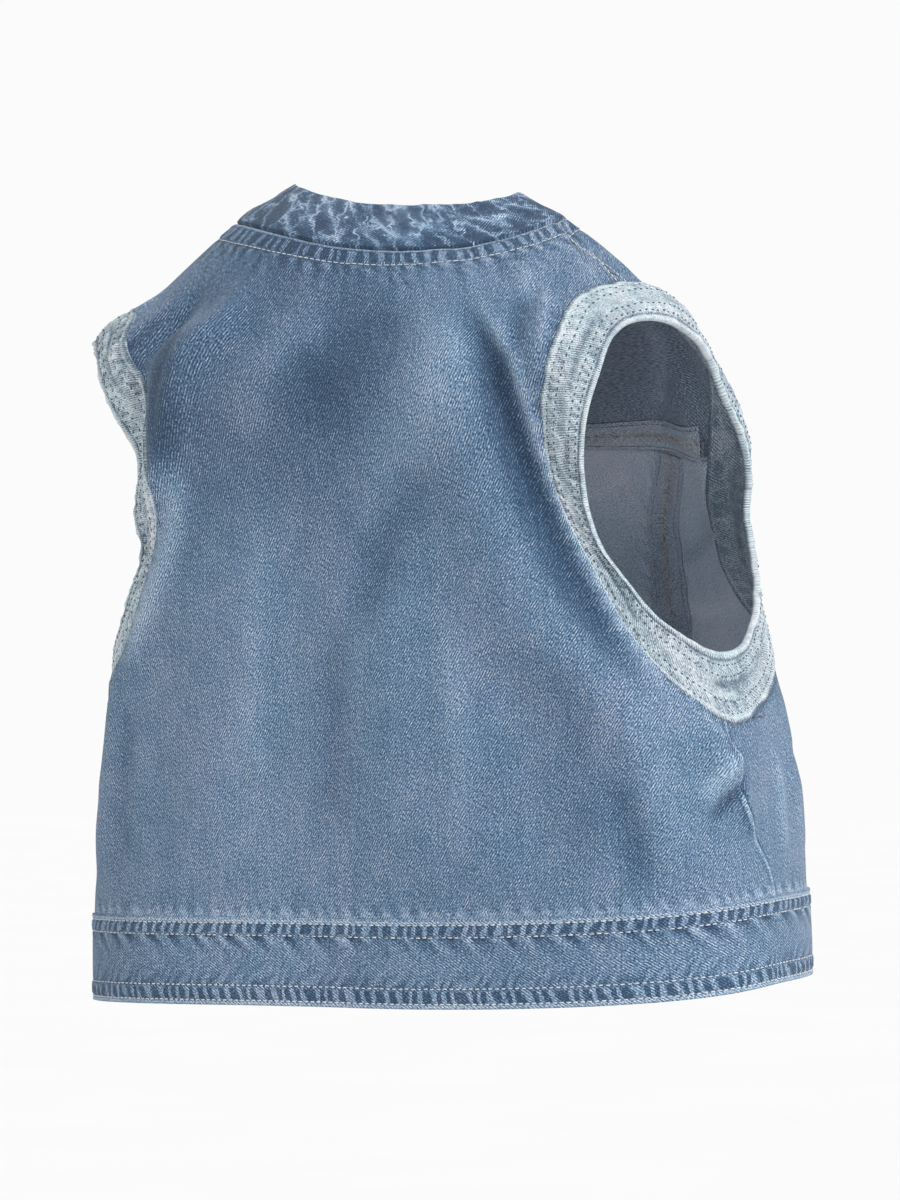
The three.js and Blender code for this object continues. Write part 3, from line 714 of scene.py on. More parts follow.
def strip_cloth(to_right, up, sizes, lift, left_edge, seed):
    """Cloth of the placket, or of the button stand behind it, from its right edge to left_edge."""
    to_right, up = np.broadcast_arrays(np.asarray(to_right, float), np.asarray(up, float))
    width = np.where(to_right > 0, ring_at(up)["right"], ring_at(up)["left"])
    around = 180.0 - np.degrees(np.arcsin(to_right / width))
    rise = up * MM_PER_UP
    height = sizes.pucker_height / MM
    middle = (PLACKET_WIDTH / 2 - left_edge) / 2
    from_edge = (PLACKET_WIDTH / 2 + left_edge) / 2 - np.abs(to_right - middle)
    run = rise + 9 * np.sign(to_right)
    rows = sum(hill(from_edge - row, 0.5) for row in PLACKET_ROWS)
    skin = sewn_strip(from_edge, run, PLACKET_STRIP, 7.6, height, seed)
    skin += 0.3 * hill(from_edge - 0.8, 0.8) - 0.3 * rows
    lumps = 0.2 * cloud(to_right / 9, rise / 14, seed + 1)
    cloth = Cloth(around, up, lift, sizes.doubled_cloth / MM, lumps, skin)
    cloth.seam = (from_edge, rise + 400.0 + 90.0 * np.sign(to_right), 1.0)
    cloth.fade = 0.15 * cloud(0.5, rise / 40, seed + 2)
    cloth.thread = np.stack([to_right, rise], -1)
    return cloth


# The fade mark holds uneven washing and, on the cloth, painted shade and highlight from creases and folds and
# the painted shading of inner faces; on the buttons it is the darkening of their hollows.
MARKS = ("fade", "patch", "reverse")
MARK_COUNT = len(MARKS) + 3
RIM_BULGE = 0.14
RIM_REVERSE = 0.4


class MeshMaker:
    """Gathers grids of points with their marks, and the quads that join them.

    The marks are MARKS and, for cloth, the three numbers of Cloth.seam.
    """

    def __init__(self):
        self.points, self.marks, self.quads, self.threads = [], [], [], []
        self.count = 0

    def add(self, points, marks):
        size = points[..., 0].size
        index = self.count + np.arange(size).reshape(points.shape[:-1])
        self.count += size
        self.points.append(points.reshape(-1, 3))
        marks = (*marks, *(0.0,) * (MARK_COUNT - len(marks)), points[..., 0])
        self.marks.append(np.stack(np.broadcast_arrays(*marks)[:-1], -1).reshape(-1, MARK_COUNT))
        return index

    def join(self, index, thread, turned=False):
        for values, store in ((index[..., None], self.quads), (thread, self.threads)):
            corners = [values[:-1, :-1], values[:-1, 1:], values[1:, 1:], values[1:, :-1]]
            quads = np.stack(corners[::-1] if turned else corners, 2)
            store.append(quads.reshape(-1, 4, values.shape[-1]))

    def make(self, name, material):
        mesh = bpy.data.meshes.new(name)
        points = np.concatenate(self.points) * MM
        quads = np.concatenate(self.quads)[..., 0].astype(np.int32)
        mesh.vertices.add(len(points))
        mesh.vertices.foreach_set("co", points.astype(np.float32).ravel())
        mesh.loops.add(quads.size)
        mesh.loops.foreach_set("vertex_index", quads.ravel())
        mesh.polygons.add(len(quads))
        mesh.polygons.foreach_set("loop_start", np.arange(0, quads.size, 4, dtype=np.int32))
        mesh.update(calc_edges=True)
        mesh.polygons.foreach_set("use_smooth", np.ones(len(quads), bool))
        marks = np.concatenate(self.marks)
        for k, mark in enumerate(MARKS):
            layer = mesh.attributes.new(mark, "FLOAT", "POINT")
            layer.data.foreach_set("value", marks[:, k].astype(np.float32))
        layer = mesh.attributes.new("seam", "FLOAT_VECTOR", "POINT")
        layer.data.foreach_set("vector", marks[:, len(MARKS):].astype(np.float32).ravel())
        thread = np.concatenate(self.threads).reshape(-1, 2)
        thread = np.concatenate([thread, np.zeros((len(thread), 1))], 1)
        layer = mesh.attributes.new("thread", "FLOAT_VECTOR", "CORNER")
        layer.data.foreach_set("vector", thread.astype(np.float32).ravel())
        mesh.materials.append(material)
        mesh.validate()
        piece = bpy.data.objects.new(name, mesh)
        bpy.context.scene.collection.objects.link(piece)
        return piece


def edge_places(rows, columns, is_loop):
    """Grid places along each open edge, each with its inner neighbour."""
    last_row, last_column = rows - 1, columns - 1
    bottom = [(0, c, 1, c) for c in range(columns)]
    top = [(last_row, c, last_row - 1, c) for c in reversed(range(columns))]
    if is_loop:
        return [bottom, top]
    right = [(r, last_column, r, last_column - 1) for r in range(1, last_row)]
    left = [(r, 0, r, 1) for r in reversed(range(1, last_row))]
    return [bottom + right + top + left + bottom[:1]]


def sew_up(name, cloth, material, is_loop=False, turned=False):
    """Close a stretch of cloth into a piece with an outer face, an inner face and rolled edges.

    A loop's last column lies on its first.
    """
    maker = MeshMaker()
    body = slice(0, -1) if is_loop else slice(None)
    faces = []
    seam = [np.broadcast_to(value, cloth.fade.shape)[:, body] for value in cloth.seam]
    for points, reverse in ((cloth.outer, 0.0), (cloth.inner, 1.0)):
        # The inner face adds its painted inside shading to the fade mark.
        fade = cloth.fade[:, body] + cloth.painted_inside_shading * reverse
        marks = (fade, cloth.patch[:, body], reverse, *seam)
        index = maker.add(points[:, body], marks)
        faces.append(np.concatenate([index, index[:, :1]], 1) if is_loop else index)
    maker.join(faces[0], cloth.thread, turned)
    maker.join(faces[1], cloth.thread, not turned)
    middle = (cloth.outer + cloth.inner) / 2
    for places in edge_places(*cloth.fade.shape, is_loop):
        r, c, inner_r, inner_c = np.array(places).T
        away = middle[r, c] - middle[inner_r, inner_c]
        away /= np.linalg.norm(away, axis=-1, keepdims=True)
        rim = middle[r, c] + away * (RIM_BULGE * cloth.wall)
        marks = (cloth.fade[r, c][:-1], cloth.patch[r, c][:-1] * 0.5 + 0.4, RIM_REVERSE)
        index = maker.add(rim[:-1], marks)
        index = np.append(index, index[:1])
        strip = np.stack([faces[0][r, c], index, faces[1][r, c]])
        thread = cloth.thread[r, c] + np.zeros((3, 1, 1))
        maker.join(strip, thread, not turned)
    return maker.make(name, material)


# ----------------------------------------------------------------------------------- materials


TURN = 2.0 * math.pi
DYE_LEVEL = 0.385
DYE_STOPS = (0.0, 0.36, 0.64, 1.0)
GREENISH = (0.94, 1.02, 1.02, 1.0)
REDDISH = (1.03, 0.995, 1.0, 1.0)


class Shade:
    """A shader socket that takes + - * and / with numbers and with other sockets."""

    def __init__(self, socket):
        self.socket = socket

    @staticmethod
    def node(tree, kind, settings=None, sockets=None, output=0):
        """Add a node: settings first (a ramp's stops too), then the values or links of sockets."""
        made = tree.nodes.new(kind)
        for name, value in (settings or {}).items():
            if name == "stops":
                ramp = made.color_ramp
                while len(ramp.elements) < len(value):
                    ramp.elements.new(0.5)
                for element, (position, colour) in zip(ramp.elements, value):
                    element.position = position
                    element.color = (*colour, 1.0)
            else:
                setattr(made, name, value)
        for key, value in (sockets or {}).items():
            if isinstance(value, Shade):
                tree.links.new(value.socket, made.inputs[key])
            else:
                made.inputs[key].default_value = value
        return None if output is None else Shade(made.outputs[output])

    def out(self, name):
        return Shade(self.socket.node.outputs[name])

    def maths(self, operation, *others):
        values = dict(enumerate((self, *others)))
        return Shade.node(self.socket.id_data, "ShaderNodeMath", {"operation": operation}, values)

    def swapped(self, operation, other):
        values = {0: other, 1: self}
        return Shade.node(self.socket.id_data, "ShaderNodeMath", {"operation": operation}, values)

    def __add__(self, other):
        return self.maths("ADD", other)

    def __mul__(self, other):
        return self.maths("MULTIPLY", other)

    def __sub__(self, other):
        return self.maths("SUBTRACT", other)

    def __truediv__(self, other):
        return self.maths("DIVIDE", other)

    def __rsub__(self, other):
        return self.swapped("SUBTRACT", other)

    __radd__ = __add__
    __rmul__ = __mul__

    def sine(self):
        return self.maths("SINE")

    def limited(self):
        """The value kept from 0 to 1."""
        return self.maths("MINIMUM", 1.0).maths("MAXIMUM", 0.0)

    def bell(self, width):
        """1 where the value is 0, falling off to each side of it."""
        share = self / width
        return (share * share * -1.0).maths("EXPONENT")

    def mixed(self, low, high):
        """A colour that this socket mixes from low to high, by the Mix node's colour sockets."""
        sockets = {0: self, 6: low, 7: high}
        return Shade.node(self.socket.id_data, "ShaderNodeMix", {"data_type": "RGBA"}, sockets, 2)


def fresh_tree(name):
    material = bpy.data.materials.new(name)
    material.use_nodes = True
    material.node_tree.nodes.clear()
    return material, material.node_tree


def finish_surface(tree, fixed, linked):
    """The main shader: fixed values go on its own sockets, and only linked ones vary."""
    shader = Shade.node(tree, "ShaderNodeBsdfPrincipled", None, {**fixed, **linked})
    Shade.node(tree, "ShaderNodeOutputMaterial", None, {"Surface": shader}, None)


def noise(tree, place, size, detail=2.0, roughness=0.55):
    """Noise about 0, with lumps of a size in millimetres along each axis of place."""
    scaled = Shade.node(
        tree, "ShaderNodeVectorMath", {"operation": "DIVIDE"}, {0: place, 1: (size[0], size[1], 1.0)}
    )
    made = Shade.node(
        tree, "ShaderNodeTexNoise", {"noise_dimensions": "2D"},
        {"Vector": scaled, "Scale": 1.0, "Detail": detail, "Roughness": roughness},
    )
    return made - 0.5


def combined(tree, x, y):
    return Shade.node(tree, "ShaderNodeCombineXYZ", None, {0: x, 1: y})


def read_mark(tree, mark, output="Fac"):
    return Shade.node(tree, "ShaderNodeAttribute", {"attribute_name": mark}, None, output)


def sewn_wash(tree):
    """What washing does beside seams: how much paler they get, and how deep the hollows lie.

    Between a seam and its row of stitches the puckers' hollows stay dark. Below the row they
    tail off.
    """
    seam = read_mark(tree, "seam", "Vector")
    parts = Shade.node(tree, "ShaderNodeSeparateXYZ", None, {0: seam})
    distance, run, strength = parts.out("X"), parts.out("Y"), parts.out("Z")
    drift = noise(tree, seam, (40.0, 15.0), 1.0)
    blur = noise(tree, seam, (1.6, 1.6), 2.0)
    wave = ((run / STRIP_PERIOD + drift * 2.0 + distance * 0.05) * TURN).sine()
    block = (wave * 1.5 + blur * 2.2 + 0.75).limited()
    tail = ((distance - 7.2) * 1.5 + 0.3).limited() * ((7.2 - distance) / 3.8).maths("EXPONENT")
    slant = (((run - distance) / 7.5 + drift * 2.6) * TURN).sine()
    inside = ((distance - 1.7) * 1.5 + 0.5).limited() * ((6.0 - distance) * 1.5 + 0.5).limited()
    paler = (
        inside * (0.14 - block * 0.52)
        + (distance - 0.6).bell(0.7) * 0.32
        - (distance - 6.9).bell(0.5) * 0.3
        - (distance - 1.6).bell(0.35) * 0.15
        + tail * (slant * 0.2 + blur * 0.3 - 0.1)
    ) * strength
    return paler, inside * block * strength


def rubbed_creases(tree, thread, across, rise, creased):
    """Crossing pale lines where creases rub, round darker hollows of a width and a height."""
    wide, high, depth = creased
    warp = noise(tree, thread, (5.0, 5.0), 1.0)
    place = combined(tree, (across + rise * 0.4) / wide + warp * 0.9, rise / high - warp * 0.6)
    cells = Shade.node(
        tree, "ShaderNodeTexVoronoi",
        {"feature": "DISTANCE_TO_EDGE", "voronoi_dimensions": "2D"},
        {"Vector": place, "Scale": 1.0}, "Distance",
    )
    broken_up = (noise(tree, thread, (8.0, 9.0), 2.0) * 3.0 + 0.75).limited()
    rub = (1.0 - cells / 0.13).limited() * broken_up
    hollow = (cells * 3.0 - 0.3).limited()
    return (rub * 0.9 - hollow * 0.55 - 0.32) * depth


def denim(name, colours, reverse_colours, lean, sizes, contrast=1.0, stain=0.36, creased=None):
    """Washed twill. lean is the slope of its lines in degrees, and colours run dark to pale."""
    material, tree = fresh_tree(name)
    thread = read_mark(tree, "thread", "Vector")
    place = Shade.node(tree, "ShaderNodeSeparateXYZ", None, {0: thread})
    across, rise = place.out("X"), place.out("Y")
    slope = math.radians(lean)
    step = across * math.sin(slope) - rise * math.cos(slope)
    along = across * math.cos(slope) + rise * math.sin(slope)
    waver = noise(tree, thread, (7.0, 7.0), 1.0)
    lines = ((step / (sizes.twill_pitch / MM) + waver * 0.7) * TURN).sine()
    grain_place = combined(tree, step, along)
    flecks = noise(tree, grain_place, (0.52, 1.05), 2.0, 0.6)
    broken = noise(tree, grain_place, (2.4, 3.2), 1.0)
    slubs = noise(tree, thread, (0.9, 26.0), 1.0)
    mottle = noise(tree, thread, (11.0, 13.0), 4.0, 0.62)
    wash = noise(tree, thread, (46.0, 64.0), 3.0)
    weave = lines * (broken * 0.6 + 0.2) + flecks * 1.9
    paler, hollows = sewn_wash(tree)
    if creased:
        paler = paler + rubbed_creases(tree, thread, across, rise, creased)
    level = (
        weave * contrast
        + slubs * 0.2
        + mottle * 0.2
        + wash * 0.14
        # The fade mark: uneven washing together with painted shade and highlight.
        + read_mark(tree, "fade") * 0.38
        + read_mark(tree, "patch") * stain
        + paler
        + DYE_LEVEL
    )

    def ramp(shades, value):
        stops = list(zip(DYE_STOPS, shades))
        return Shade.node(tree, "ShaderNodeValToRGB", {"stops": stops}, {0: value}, "Color")

    face, back = ramp(colours, level), ramp(reverse_colours, level * 0.7 + 0.16)
    hue = (wash * 2.4 + mottle * 1.4 + 0.5).limited()
    tint = hue.mixed(GREENISH, REDDISH)
    coloured = read_mark(tree, "reverse").mixed(face, back)
    base = Shade.node(
        tree, "ShaderNodeVectorMath", {"operation": "MULTIPLY"}, {0: coloured, 1: tint}, "Vector"
    )
    height = lines * 0.7 + flecks * 0.8 + slubs * 0.3 - hollows * 1.5
    bump = Shade.node(
        tree, "ShaderNodeBump", None, {"Strength": 0.55, "Distance": 0.00022, "Height": height}
    )
    finish_surface(
        tree,
        {"Metallic": 0.0, "Specular IOR Level": 0.22, "Sheen Weight": 0.12, "Sheen Roughness": 0.6},
        {"Base Color": base, "Roughness": 0.86 - level * 0.06, "Normal": bump},
    )
    return material


def thread_finish(name, colour, dark):
    """Sewing thread, a little uneven along its run."""
    material, tree = fresh_tree(name)
    place = Shade.node(tree, "ShaderNodeTexCoord", None, None, "Object")
    blotch = Shade.node(
        tree, "ShaderNodeTexNoise", None, {"Vector": place, "Scale": 420.0, "Detail": 3.0}
    )
    twist = Shade.node(
        tree, "ShaderNodeTexNoise", None, {"Vector": place, "Scale": 3800.0, "Detail": 1.0}
    )
    colours = (blotch * 2.6 - 0.8).limited().mixed((*dark, 1.0), (*colour, 1.0))
    bump = Shade.node(
        tree, "ShaderNodeBump", None, {"Strength": 0.5, "Distance": 0.0001, "Height": twist}
    )
    finish_surface(
        tree,
        {"Metallic": 0.0, "Specular IOR Level": 0.3, "Sheen Weight": 0.15},
        {"Base Color": colours, "Roughness": 0.75 + blotch * 0.1, "Normal": bump},
    )
    return material


def metal_finish(name, colour, dark):
    """Dull plated metal, darker in its hollows."""
    material, tree = fresh_tree(name)
    place = Shade.node(tree, "ShaderNodeTexCoord", None, None, "Object")
    scuffs = Shade.node(
        tree, "ShaderNodeTexNoise", None,
        {"Vector": place, "Scale": 900.0, "Detail": 5.0, "Roughness": 0.7},
    )
    share = (read_mark(tree, "fade") + scuffs * 0.8 - 0.4).limited()
    bump = Shade.node(
        tree, "ShaderNodeBump", None, {"Strength": 0.25, "Distance": 0.00008, "Height": scuffs}
    )
    finish_surface(
        tree,
        {"Specular IOR Level": 0.5},
        {
            "Base Color": share.mixed((*colour, 1.0), (*dark, 1.0)),
            "Metallic": 0.95 - share * 0.3,
            "Roughness": 0.3 + scuffs * 0.25,
            "Normal": bump,
        },
    )
    return material


FINISHES = {}
# How far the twill's lines lean, in degrees, and the neckband's creases: width and height of the
# hollows between them in millimetres, and their strength
PANEL_LEAN, HEM_LEAN, NECKBAND_LEAN, BLEACHED_LEAN = 60.0, 34.0, 45.0, 128.0
NECKBAND_CREASES = (9.0, 22.0, 0.62)


def finish(name, context):
    """The material of a finish, made when it is first asked for."""
    if name in FINISHES:
        return FINISHES[name]
    sizes, colours = context.scene.vest_sizes, context.scene.vest_colours

    def shades(*names):
        return [tuple(getattr(colours, shade)) for shade in names]

    blue = shades("indigo", "washed", "worn", "pale")
    inside = shades("reverse_dark", "reverse", "reverse_pale", "reverse_rubbed")
    bleached = shades("bleached_dark", "bleached", "bleached_pale", "bleached_rubbed")
    makers = {
        "panel_denim": lambda: denim(name, blue, inside, PANEL_LEAN, sizes),
        "hem_denim": lambda: denim(name, blue, inside, HEM_LEAN, sizes),
        "neckband_denim": lambda: denim(
            name, blue, inside, NECKBAND_LEAN, sizes, 0.9, 0.3, NECKBAND_CREASES
        ),
        "bleached_denim": lambda: denim(name, bleached, bleached, BLEACHED_LEAN, sizes, 0.8, 0.3),
        "pale_thread": lambda: thread_finish(name, *shades("thread", "thread_shade")),
        "overlock_thread": lambda: thread_finish(name, *shades("overlock", "overlock_shade")),
        "slate_thread": lambda: thread_finish(name, *shades("slate_thread", "indigo")),
        "button_metal": lambda: metal_finish(name, *shades("metal", "metal_shade")),
    }
    FINISHES[name] = makers[name]()
    return FINISHES[name]


# -------------------------------------------------------------------------------------- stitches


def unit(vectors):
    return vectors / np.linalg.norm(vectors, axis=-1, keepdims=True)


def read_along(wanted, at, values):
    return np.stack([np.interp(wanted, at, values[:, k]) for k in range(values.shape[-1])], -1)


def resampled(points, pitch):
    """Places every pitch millimetres along a line, and the way the line runs there."""
    lengths = np.linalg.norm(np.diff(points, axis=0), axis=-1)
    at = np.concatenate([[0.0], np.cumsum(lengths)])
    count = max(int(at[-1] / pitch), 1)
    wanted = (np.arange(count) + 0.5) * at[-1] / count
    run = read_along(wanted + 0.4, at, points) - read_along(wanted - 0.4, at, points)
    return read_along(wanted, at, points), unit(run), wanted / at[-1]


STITCH_WAVER = 0.12
STITCH_SIDES = 6
# Along the stitch in shares of its length, then size and dip in shares of the thread's width
STITCH_RINGS = ((-0.5, 0.35, -0.45), (-0.36, 0.9, 0.0), (0.36, 0.9, 0.0), (0.5, 0.35, -0.45))


def add_stitches(maker, place, run, out, length, width):
    """Rounded stitches whose ends dip into the cloth. width is the thread's, in millimetres."""
    side = np.cross(out, run)
    turn = np.arange(STITCH_SIDES + 1) * TURN / STITCH_SIDES
    rings = []
    for along, size, dip in STITCH_RINGS:
        radius = width / 2 * size
        centre = place + run * (along * length) + out * (dip * width)
        rings.append(
            centre[:, None]
            + side[:, None] * (radius * np.cos(turn))[None, :, None]
            + out[:, None] * (radius * 0.8 * np.sin(turn))[None, :, None]
        )
    grid = np.stack(rings, 1)
    index = maker.add(grid[:, :, :-1], (0.0, 0.0, 0.0))
    index = np.concatenate([index, index[:, :, :1]], 2)
    for k in range(len(STITCH_RINGS) - 1):
        pair = index[:, k:k + 2]
        corners = [pair[:, 0, :-1], pair[:, 0, 1:], pair[:, 1, 1:], pair[:, 1, :-1]]
        maker.quads.append(np.stack(corners, -1).reshape(-1, 4, 1))
    for k, order in ((0, 1), (len(STITCH_RINGS) - 1, -1)):
        ring = index[:, k]
        for first in (0, 2):
            corners = [ring[:, 0], ring[:, first + 3], ring[:, first + 2], ring[:, first + 1]]
            maker.quads.append(np.stack(corners[::order], -1).reshape(-1, 4, 1))
    quads = sum(len(block) for block in maker.quads)
    threads = sum(len(block) for block in maker.threads)
    maker.threads.append(np.zeros((quads - threads, 4, 2)))


def stitch_row(maker, face, out, sizes, pitch=None, length=None, width=None, raise_by=0.22):
    """A row of stitches on one line of laid cloth, whose way out is out."""
    place, run, share = resampled(face, pitch or sizes.stitch_pitch / MM)
    lengths = np.concatenate([[0.0], np.cumsum(np.linalg.norm(np.diff(face, axis=0), axis=-1))])
    ways = unit(read_along(share, lengths / lengths[-1], out))
    run = unit(run - ways * (run * ways).sum(-1, keepdims=True))
    waver = STITCH_WAVER * cloud(share * 300, len(out) * 0.37, 5)
    place = place + np.cross(ways, run) * waver[:, None] + ways * raise_by
    length, width = length or sizes.stitch_length / MM, width or sizes.thread_width / MM
    add_stitches(maker, place, run, ways, length, width)


# ------------------------------------------------------------------------------- property groups


def length_property(name, description, default):
    return bpy.props.FloatProperty(
        name=name, description=description, default=default, unit="LENGTH", precision=5
    )


def share_property(name, description, default):
    return bpy.props.FloatProperty(
        name=name, description=description, default=default, subtype="FACTOR"
    )


def colour_property(name, description, default):
    return bpy.props.FloatVectorProperty(
        name=name, description=description, default=default, subtype="COLOR", min=0.0, max=1.0
    )


class VestSizes(bpy.types.PropertyGroup):
    """Sizes of the vest's cloth, sewing and buttons."""

    cloth: length_property("Cloth", "Thickness of one layer of denim", 0.0016)
    doubled_cloth: length_property("Doubled cloth", "Thickness of a band of doubled denim", 0.0026)
    pucker_height: length_property("Pucker height", "How far sewn strips rise and fall", 0.00055)
    crease_share: share_property("Creases", "Share of the full height of the small creases", 1.0)
    twill_pitch: length_property("Twill pitch", "Distance from one line of the twill to the next", 0.00104)
    stitch_pitch: length_property("Stitch pitch", "Length of a stitch with its gap", 0.003)
    stitch_length: length_property("Stitch length", "Length of thread that shows in a stitch", 0.0022)
    thread_width: length_property("Thread width", "Width of the topstitching thread", 0.0007)
    button_diameter: length_property("Button diameter", "Width of a shank button", 0.015)
    button_height: length_property("Button height", "Height of a button's head", 0.0034)


class VestColours(bpy.types.PropertyGroup):
    """Colours of the vest's cloth, thread and metal."""

    # The darkest and palest stops are also reached where the fade mark paints shade into hollows and
    # highlight onto ridges.
    indigo: colour_property("Indigo", "Darkest dye, in hollows", (0.022, 0.050, 0.098))
    washed: colour_property("Washed blue", "Darker threads of the washed cloth", (0.092, 0.163, 0.268))
    worn: colour_property("Worn blue", "Paler threads of the washed cloth", (0.213, 0.308, 0.445))
    pale: colour_property("Pale blue", "Ridges rubbed nearly white", (0.56, 0.63, 0.70))
    reverse_dark: colour_property("Reverse, dark", "Darkest threads of the inside", (0.070, 0.088, 0.122))
    reverse: colour_property("Reverse", "Main colour of the inside", (0.22, 0.265, 0.35))
    reverse_pale: colour_property("Reverse, pale", "Pale threads of the inside", (0.43, 0.49, 0.59))
    reverse_rubbed: colour_property("Reverse, rubbed", "Palest specks inside", (0.62, 0.64, 0.66))
    bleached_dark: colour_property("Bleached, dark", "Dark specks of the bleached bands", (0.09, 0.125, 0.18))
    bleached: colour_property("Bleached", "Main colour of the bleached bands", (0.375, 0.445, 0.50))
    bleached_pale: colour_property("Bleached, pale", "Pale threads of the bands", (0.62, 0.69, 0.73))
    bleached_rubbed: colour_property("Bleached, rubbed", "Palest specks of them", (0.74, 0.77, 0.78))
    thread: colour_property("Thread", "Topstitching on the blue cloth", (0.70, 0.71, 0.70))
    thread_shade: colour_property("Thread, shaded", "Duller lengths of that thread", (0.42, 0.46, 0.52))
    overlock: colour_property("Overlocking", "Thread over the edges inside", (0.58, 0.55, 0.52))
    overlock_shade: colour_property("Overlocking, shaded", "Duller lengths of it", (0.20, 0.19, 0.19))
    slate_thread: colour_property("Slate thread", "Topstitching on the armhole bands", (0.10, 0.13, 0.18))
    metal: colour_property("Button metal", "Plating of the buttons", (0.56, 0.56, 0.57))
    metal_shade: colour_property("Button hollows", "Darkened metal in the hollows", (0.12, 0.12, 0.13))


class VestStage(bpy.types.PropertyGroup):
    """The floor, the light and the camera."""

    floor: colour_property("Floor", "Colour of the floor", (0.90, 0.90, 0.90))
    floor_depth: length_property("Floor depth", "How far the floor lies below the shoulders", 1.1)
    camera_distance: length_property("Camera distance", "From the vest to the camera", 1.8)
    picture_height: length_property("Picture height", "What the picture takes in, at the vest", 0.522)
    ambient: share_property("Ambient light", "Light from all round", 0.58)
    key_light: share_property("Key light", "Light from the right", 2.5)


# ---------------------------------------------------------------------------------- operators


def keep(piece):
    """Fasten a piece to the vest's one body."""
    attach(piece, "root")


def declare(piece, nodes):
    """Fasten a finished piece of cloth to the vest's body, and hide the CAD parts that it takes the place of.
    """
    keep(piece)
    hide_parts(*nodes)


def places_between(inner, outer, count):
    """A grid of places from one edge to the other, with a row for each pair of their points."""
    share = np.linspace(0.0, 1.0, count + 1)
    around = mix(inner[0][:, None], outer[0][:, None], share)
    up = mix(inner[1][:, None], outer[1][:, None], share)
    return around, up


def join_runs(*runs):
    """One edge out of several, each of which starts where the last one ends."""
    return tuple(np.concatenate([runs[0][k]] + [run[k][1:] for run in runs[1:]]) for k in (0, 1))


def shoulder_edge(rows):
    start = float(armhole_at(0.0, "seam")[0])
    return (
        steps(start, SHOULDER_SEAM_AT_NECK, rows),
        steps(SHOULDER_UP, 1.0 - NECK_GAP, rows),
    )


SIDES = ((1, "R"), (-1, "L"))
# Quads of each panel's mesh: beside the side seam, the armhole and the shoulder, then across
BACK_GRID = (52, 100, 34, 112)
FRONT_SIDE_GRID = (42, 62, 78)
FRONT_CENTRE_GRID = (124, 32)
FRONT_YOKE_GRID = (40, 34, 66)
ARMHOLE_GRID = (440, 27)
NECKBAND_GRID = (30, 380)
HEM_BAND_GRID = (34, 600)
STRIP_GRID = (190, 23)
PLACKET_SEED = 81


class VEST_OT_back(bpy.types.Operator):
    """Cut the back panel and lay it over the body with its folds"""

    bl_idname = "vest.back"
    bl_label = "Back panel"

    def execute(self, context):
        side, armhole, shoulder, half = BACK_GRID
        ups = steps(PANEL_EDGE_UP, UNDERARM_UP, side)
        edge = join_runs(
            (side_seam(ups), ups),
            armhole_at(steps(UNDERARM_TURN, 0.0, armhole), "seam"),
            shoulder_edge(shoulder),
        )
        middle_up = np.concatenate([
            ups,
            steps(UNDERARM_UP, SHOULDER_UP, armhole)[1:],
            steps(SHOULDER_UP, 1.0 - NECK_GAP, shoulder)[1:],
        ])
        around, up = places_between((np.zeros(len(middle_up)), middle_up), edge, half)
        around = np.concatenate([-around[:, :0:-1], around], 1)
        up = np.concatenate([up[:, :0:-1], up], 1)
        sizes = context.scene.vest_sizes
        cloth = panel_cloth(around, up, sizes, ("neck", "side", "armhole"))
        piece = sew_up("back_cloth", cloth, finish("panel_denim", context))
        declare(piece, ["back_panel"])
        return {"FINISHED"}


class VEST_OT_fronts(bpy.types.Operator):
    """Cut the six front panels: a side, a centre and a yoke on each side"""

    bl_idname = "vest.fronts"
    bl_label = "Fronts and yokes"

    def execute(self, context):
        sizes = context.scene.vest_sizes
        material = finish("panel_denim", context)
        for side, tag in SIDES:
            lift = lift_on(side)
            for part, (around, up), seams, lift, flat, area in (
                ("side", self.side_places(), ("side_under", "armhole"), no_underlap,
                 (0.155, 0.225), 0.0185),
                ("centre", self.centre_places(side), ("front",), lift, (0.062, 0.24), 0.0126),
                ("yoke", self.yoke_places(side), ("neck", "shoulder", "yoke", "armhole"), lift,
                 (0.15, 0.13), 0.0113),
            ):
                if side < 0:
                    around, up = -around[:, ::-1], up[:, ::-1]
                cloth = panel_cloth(around, up, sizes, seams, lift(around, up))
                piece = sew_up(f"front_{part}_cloth_{tag}", cloth, material)
                declare(piece, [f"front_{part}_{tag}"])
        return {"FINISHED"}

    @staticmethod
    def side_places():
        low, high, columns = FRONT_SIDE_GRID
        ups = steps(PANEL_EDGE_UP, UNDERARM_UP, low)
        outer = join_runs(
            (side_seam(ups) + DEGREE_GAP, ups),
            armhole_at(steps(UNDERARM_TURN, YOKE_TURN, high), "seam"),
        )
        outer[1][-1] -= UP_GAP
        inner_ups = np.concatenate([ups, steps(UNDERARM_UP, YOKE_CORNER_UP - UP_GAP, high)[1:]])
        return places_between(outer, (front_seam(inner_ups), inner_ups), columns)

    @staticmethod
    def centre_places(side):
        rows, columns = FRONT_CENTRE_GRID
        ups = steps(PANEL_EDGE_UP, YOKE_CORNER_UP - UP_GAP, rows)
        outer = (front_seam(ups) + DEGREE_GAP, ups)
        inner_ups = steps(PANEL_EDGE_UP, YOKE_PLACKET_UP - UP_GAP, rows)
        inner = (placket_edge_around(side, inner_ups) - 2 * DEGREE_GAP, inner_ups)
        return places_between(outer, inner, columns)

    @staticmethod
    def yoke_places(side):
        high, shoulder, columns = FRONT_YOKE_GRID
        outer = join_runs(
            armhole_at(steps(YOKE_TURN, SHOULDER_TURN, high), "seam"), shoulder_edge(shoulder)
        )
        outer = (outer[0] + 2 * DEGREE_GAP, outer[1])
        ups = mix(YOKE_PLACKET_UP, 1.0 - NECK_GAP, steps(0.0, 1.0, high + shoulder))
        inner = (placket_edge_around(side, ups) - 2 * DEGREE_GAP, ups)
        around, up = places_between(outer, inner, columns)
        up[0] = yoke_seam_up(around[0])
        return around, up


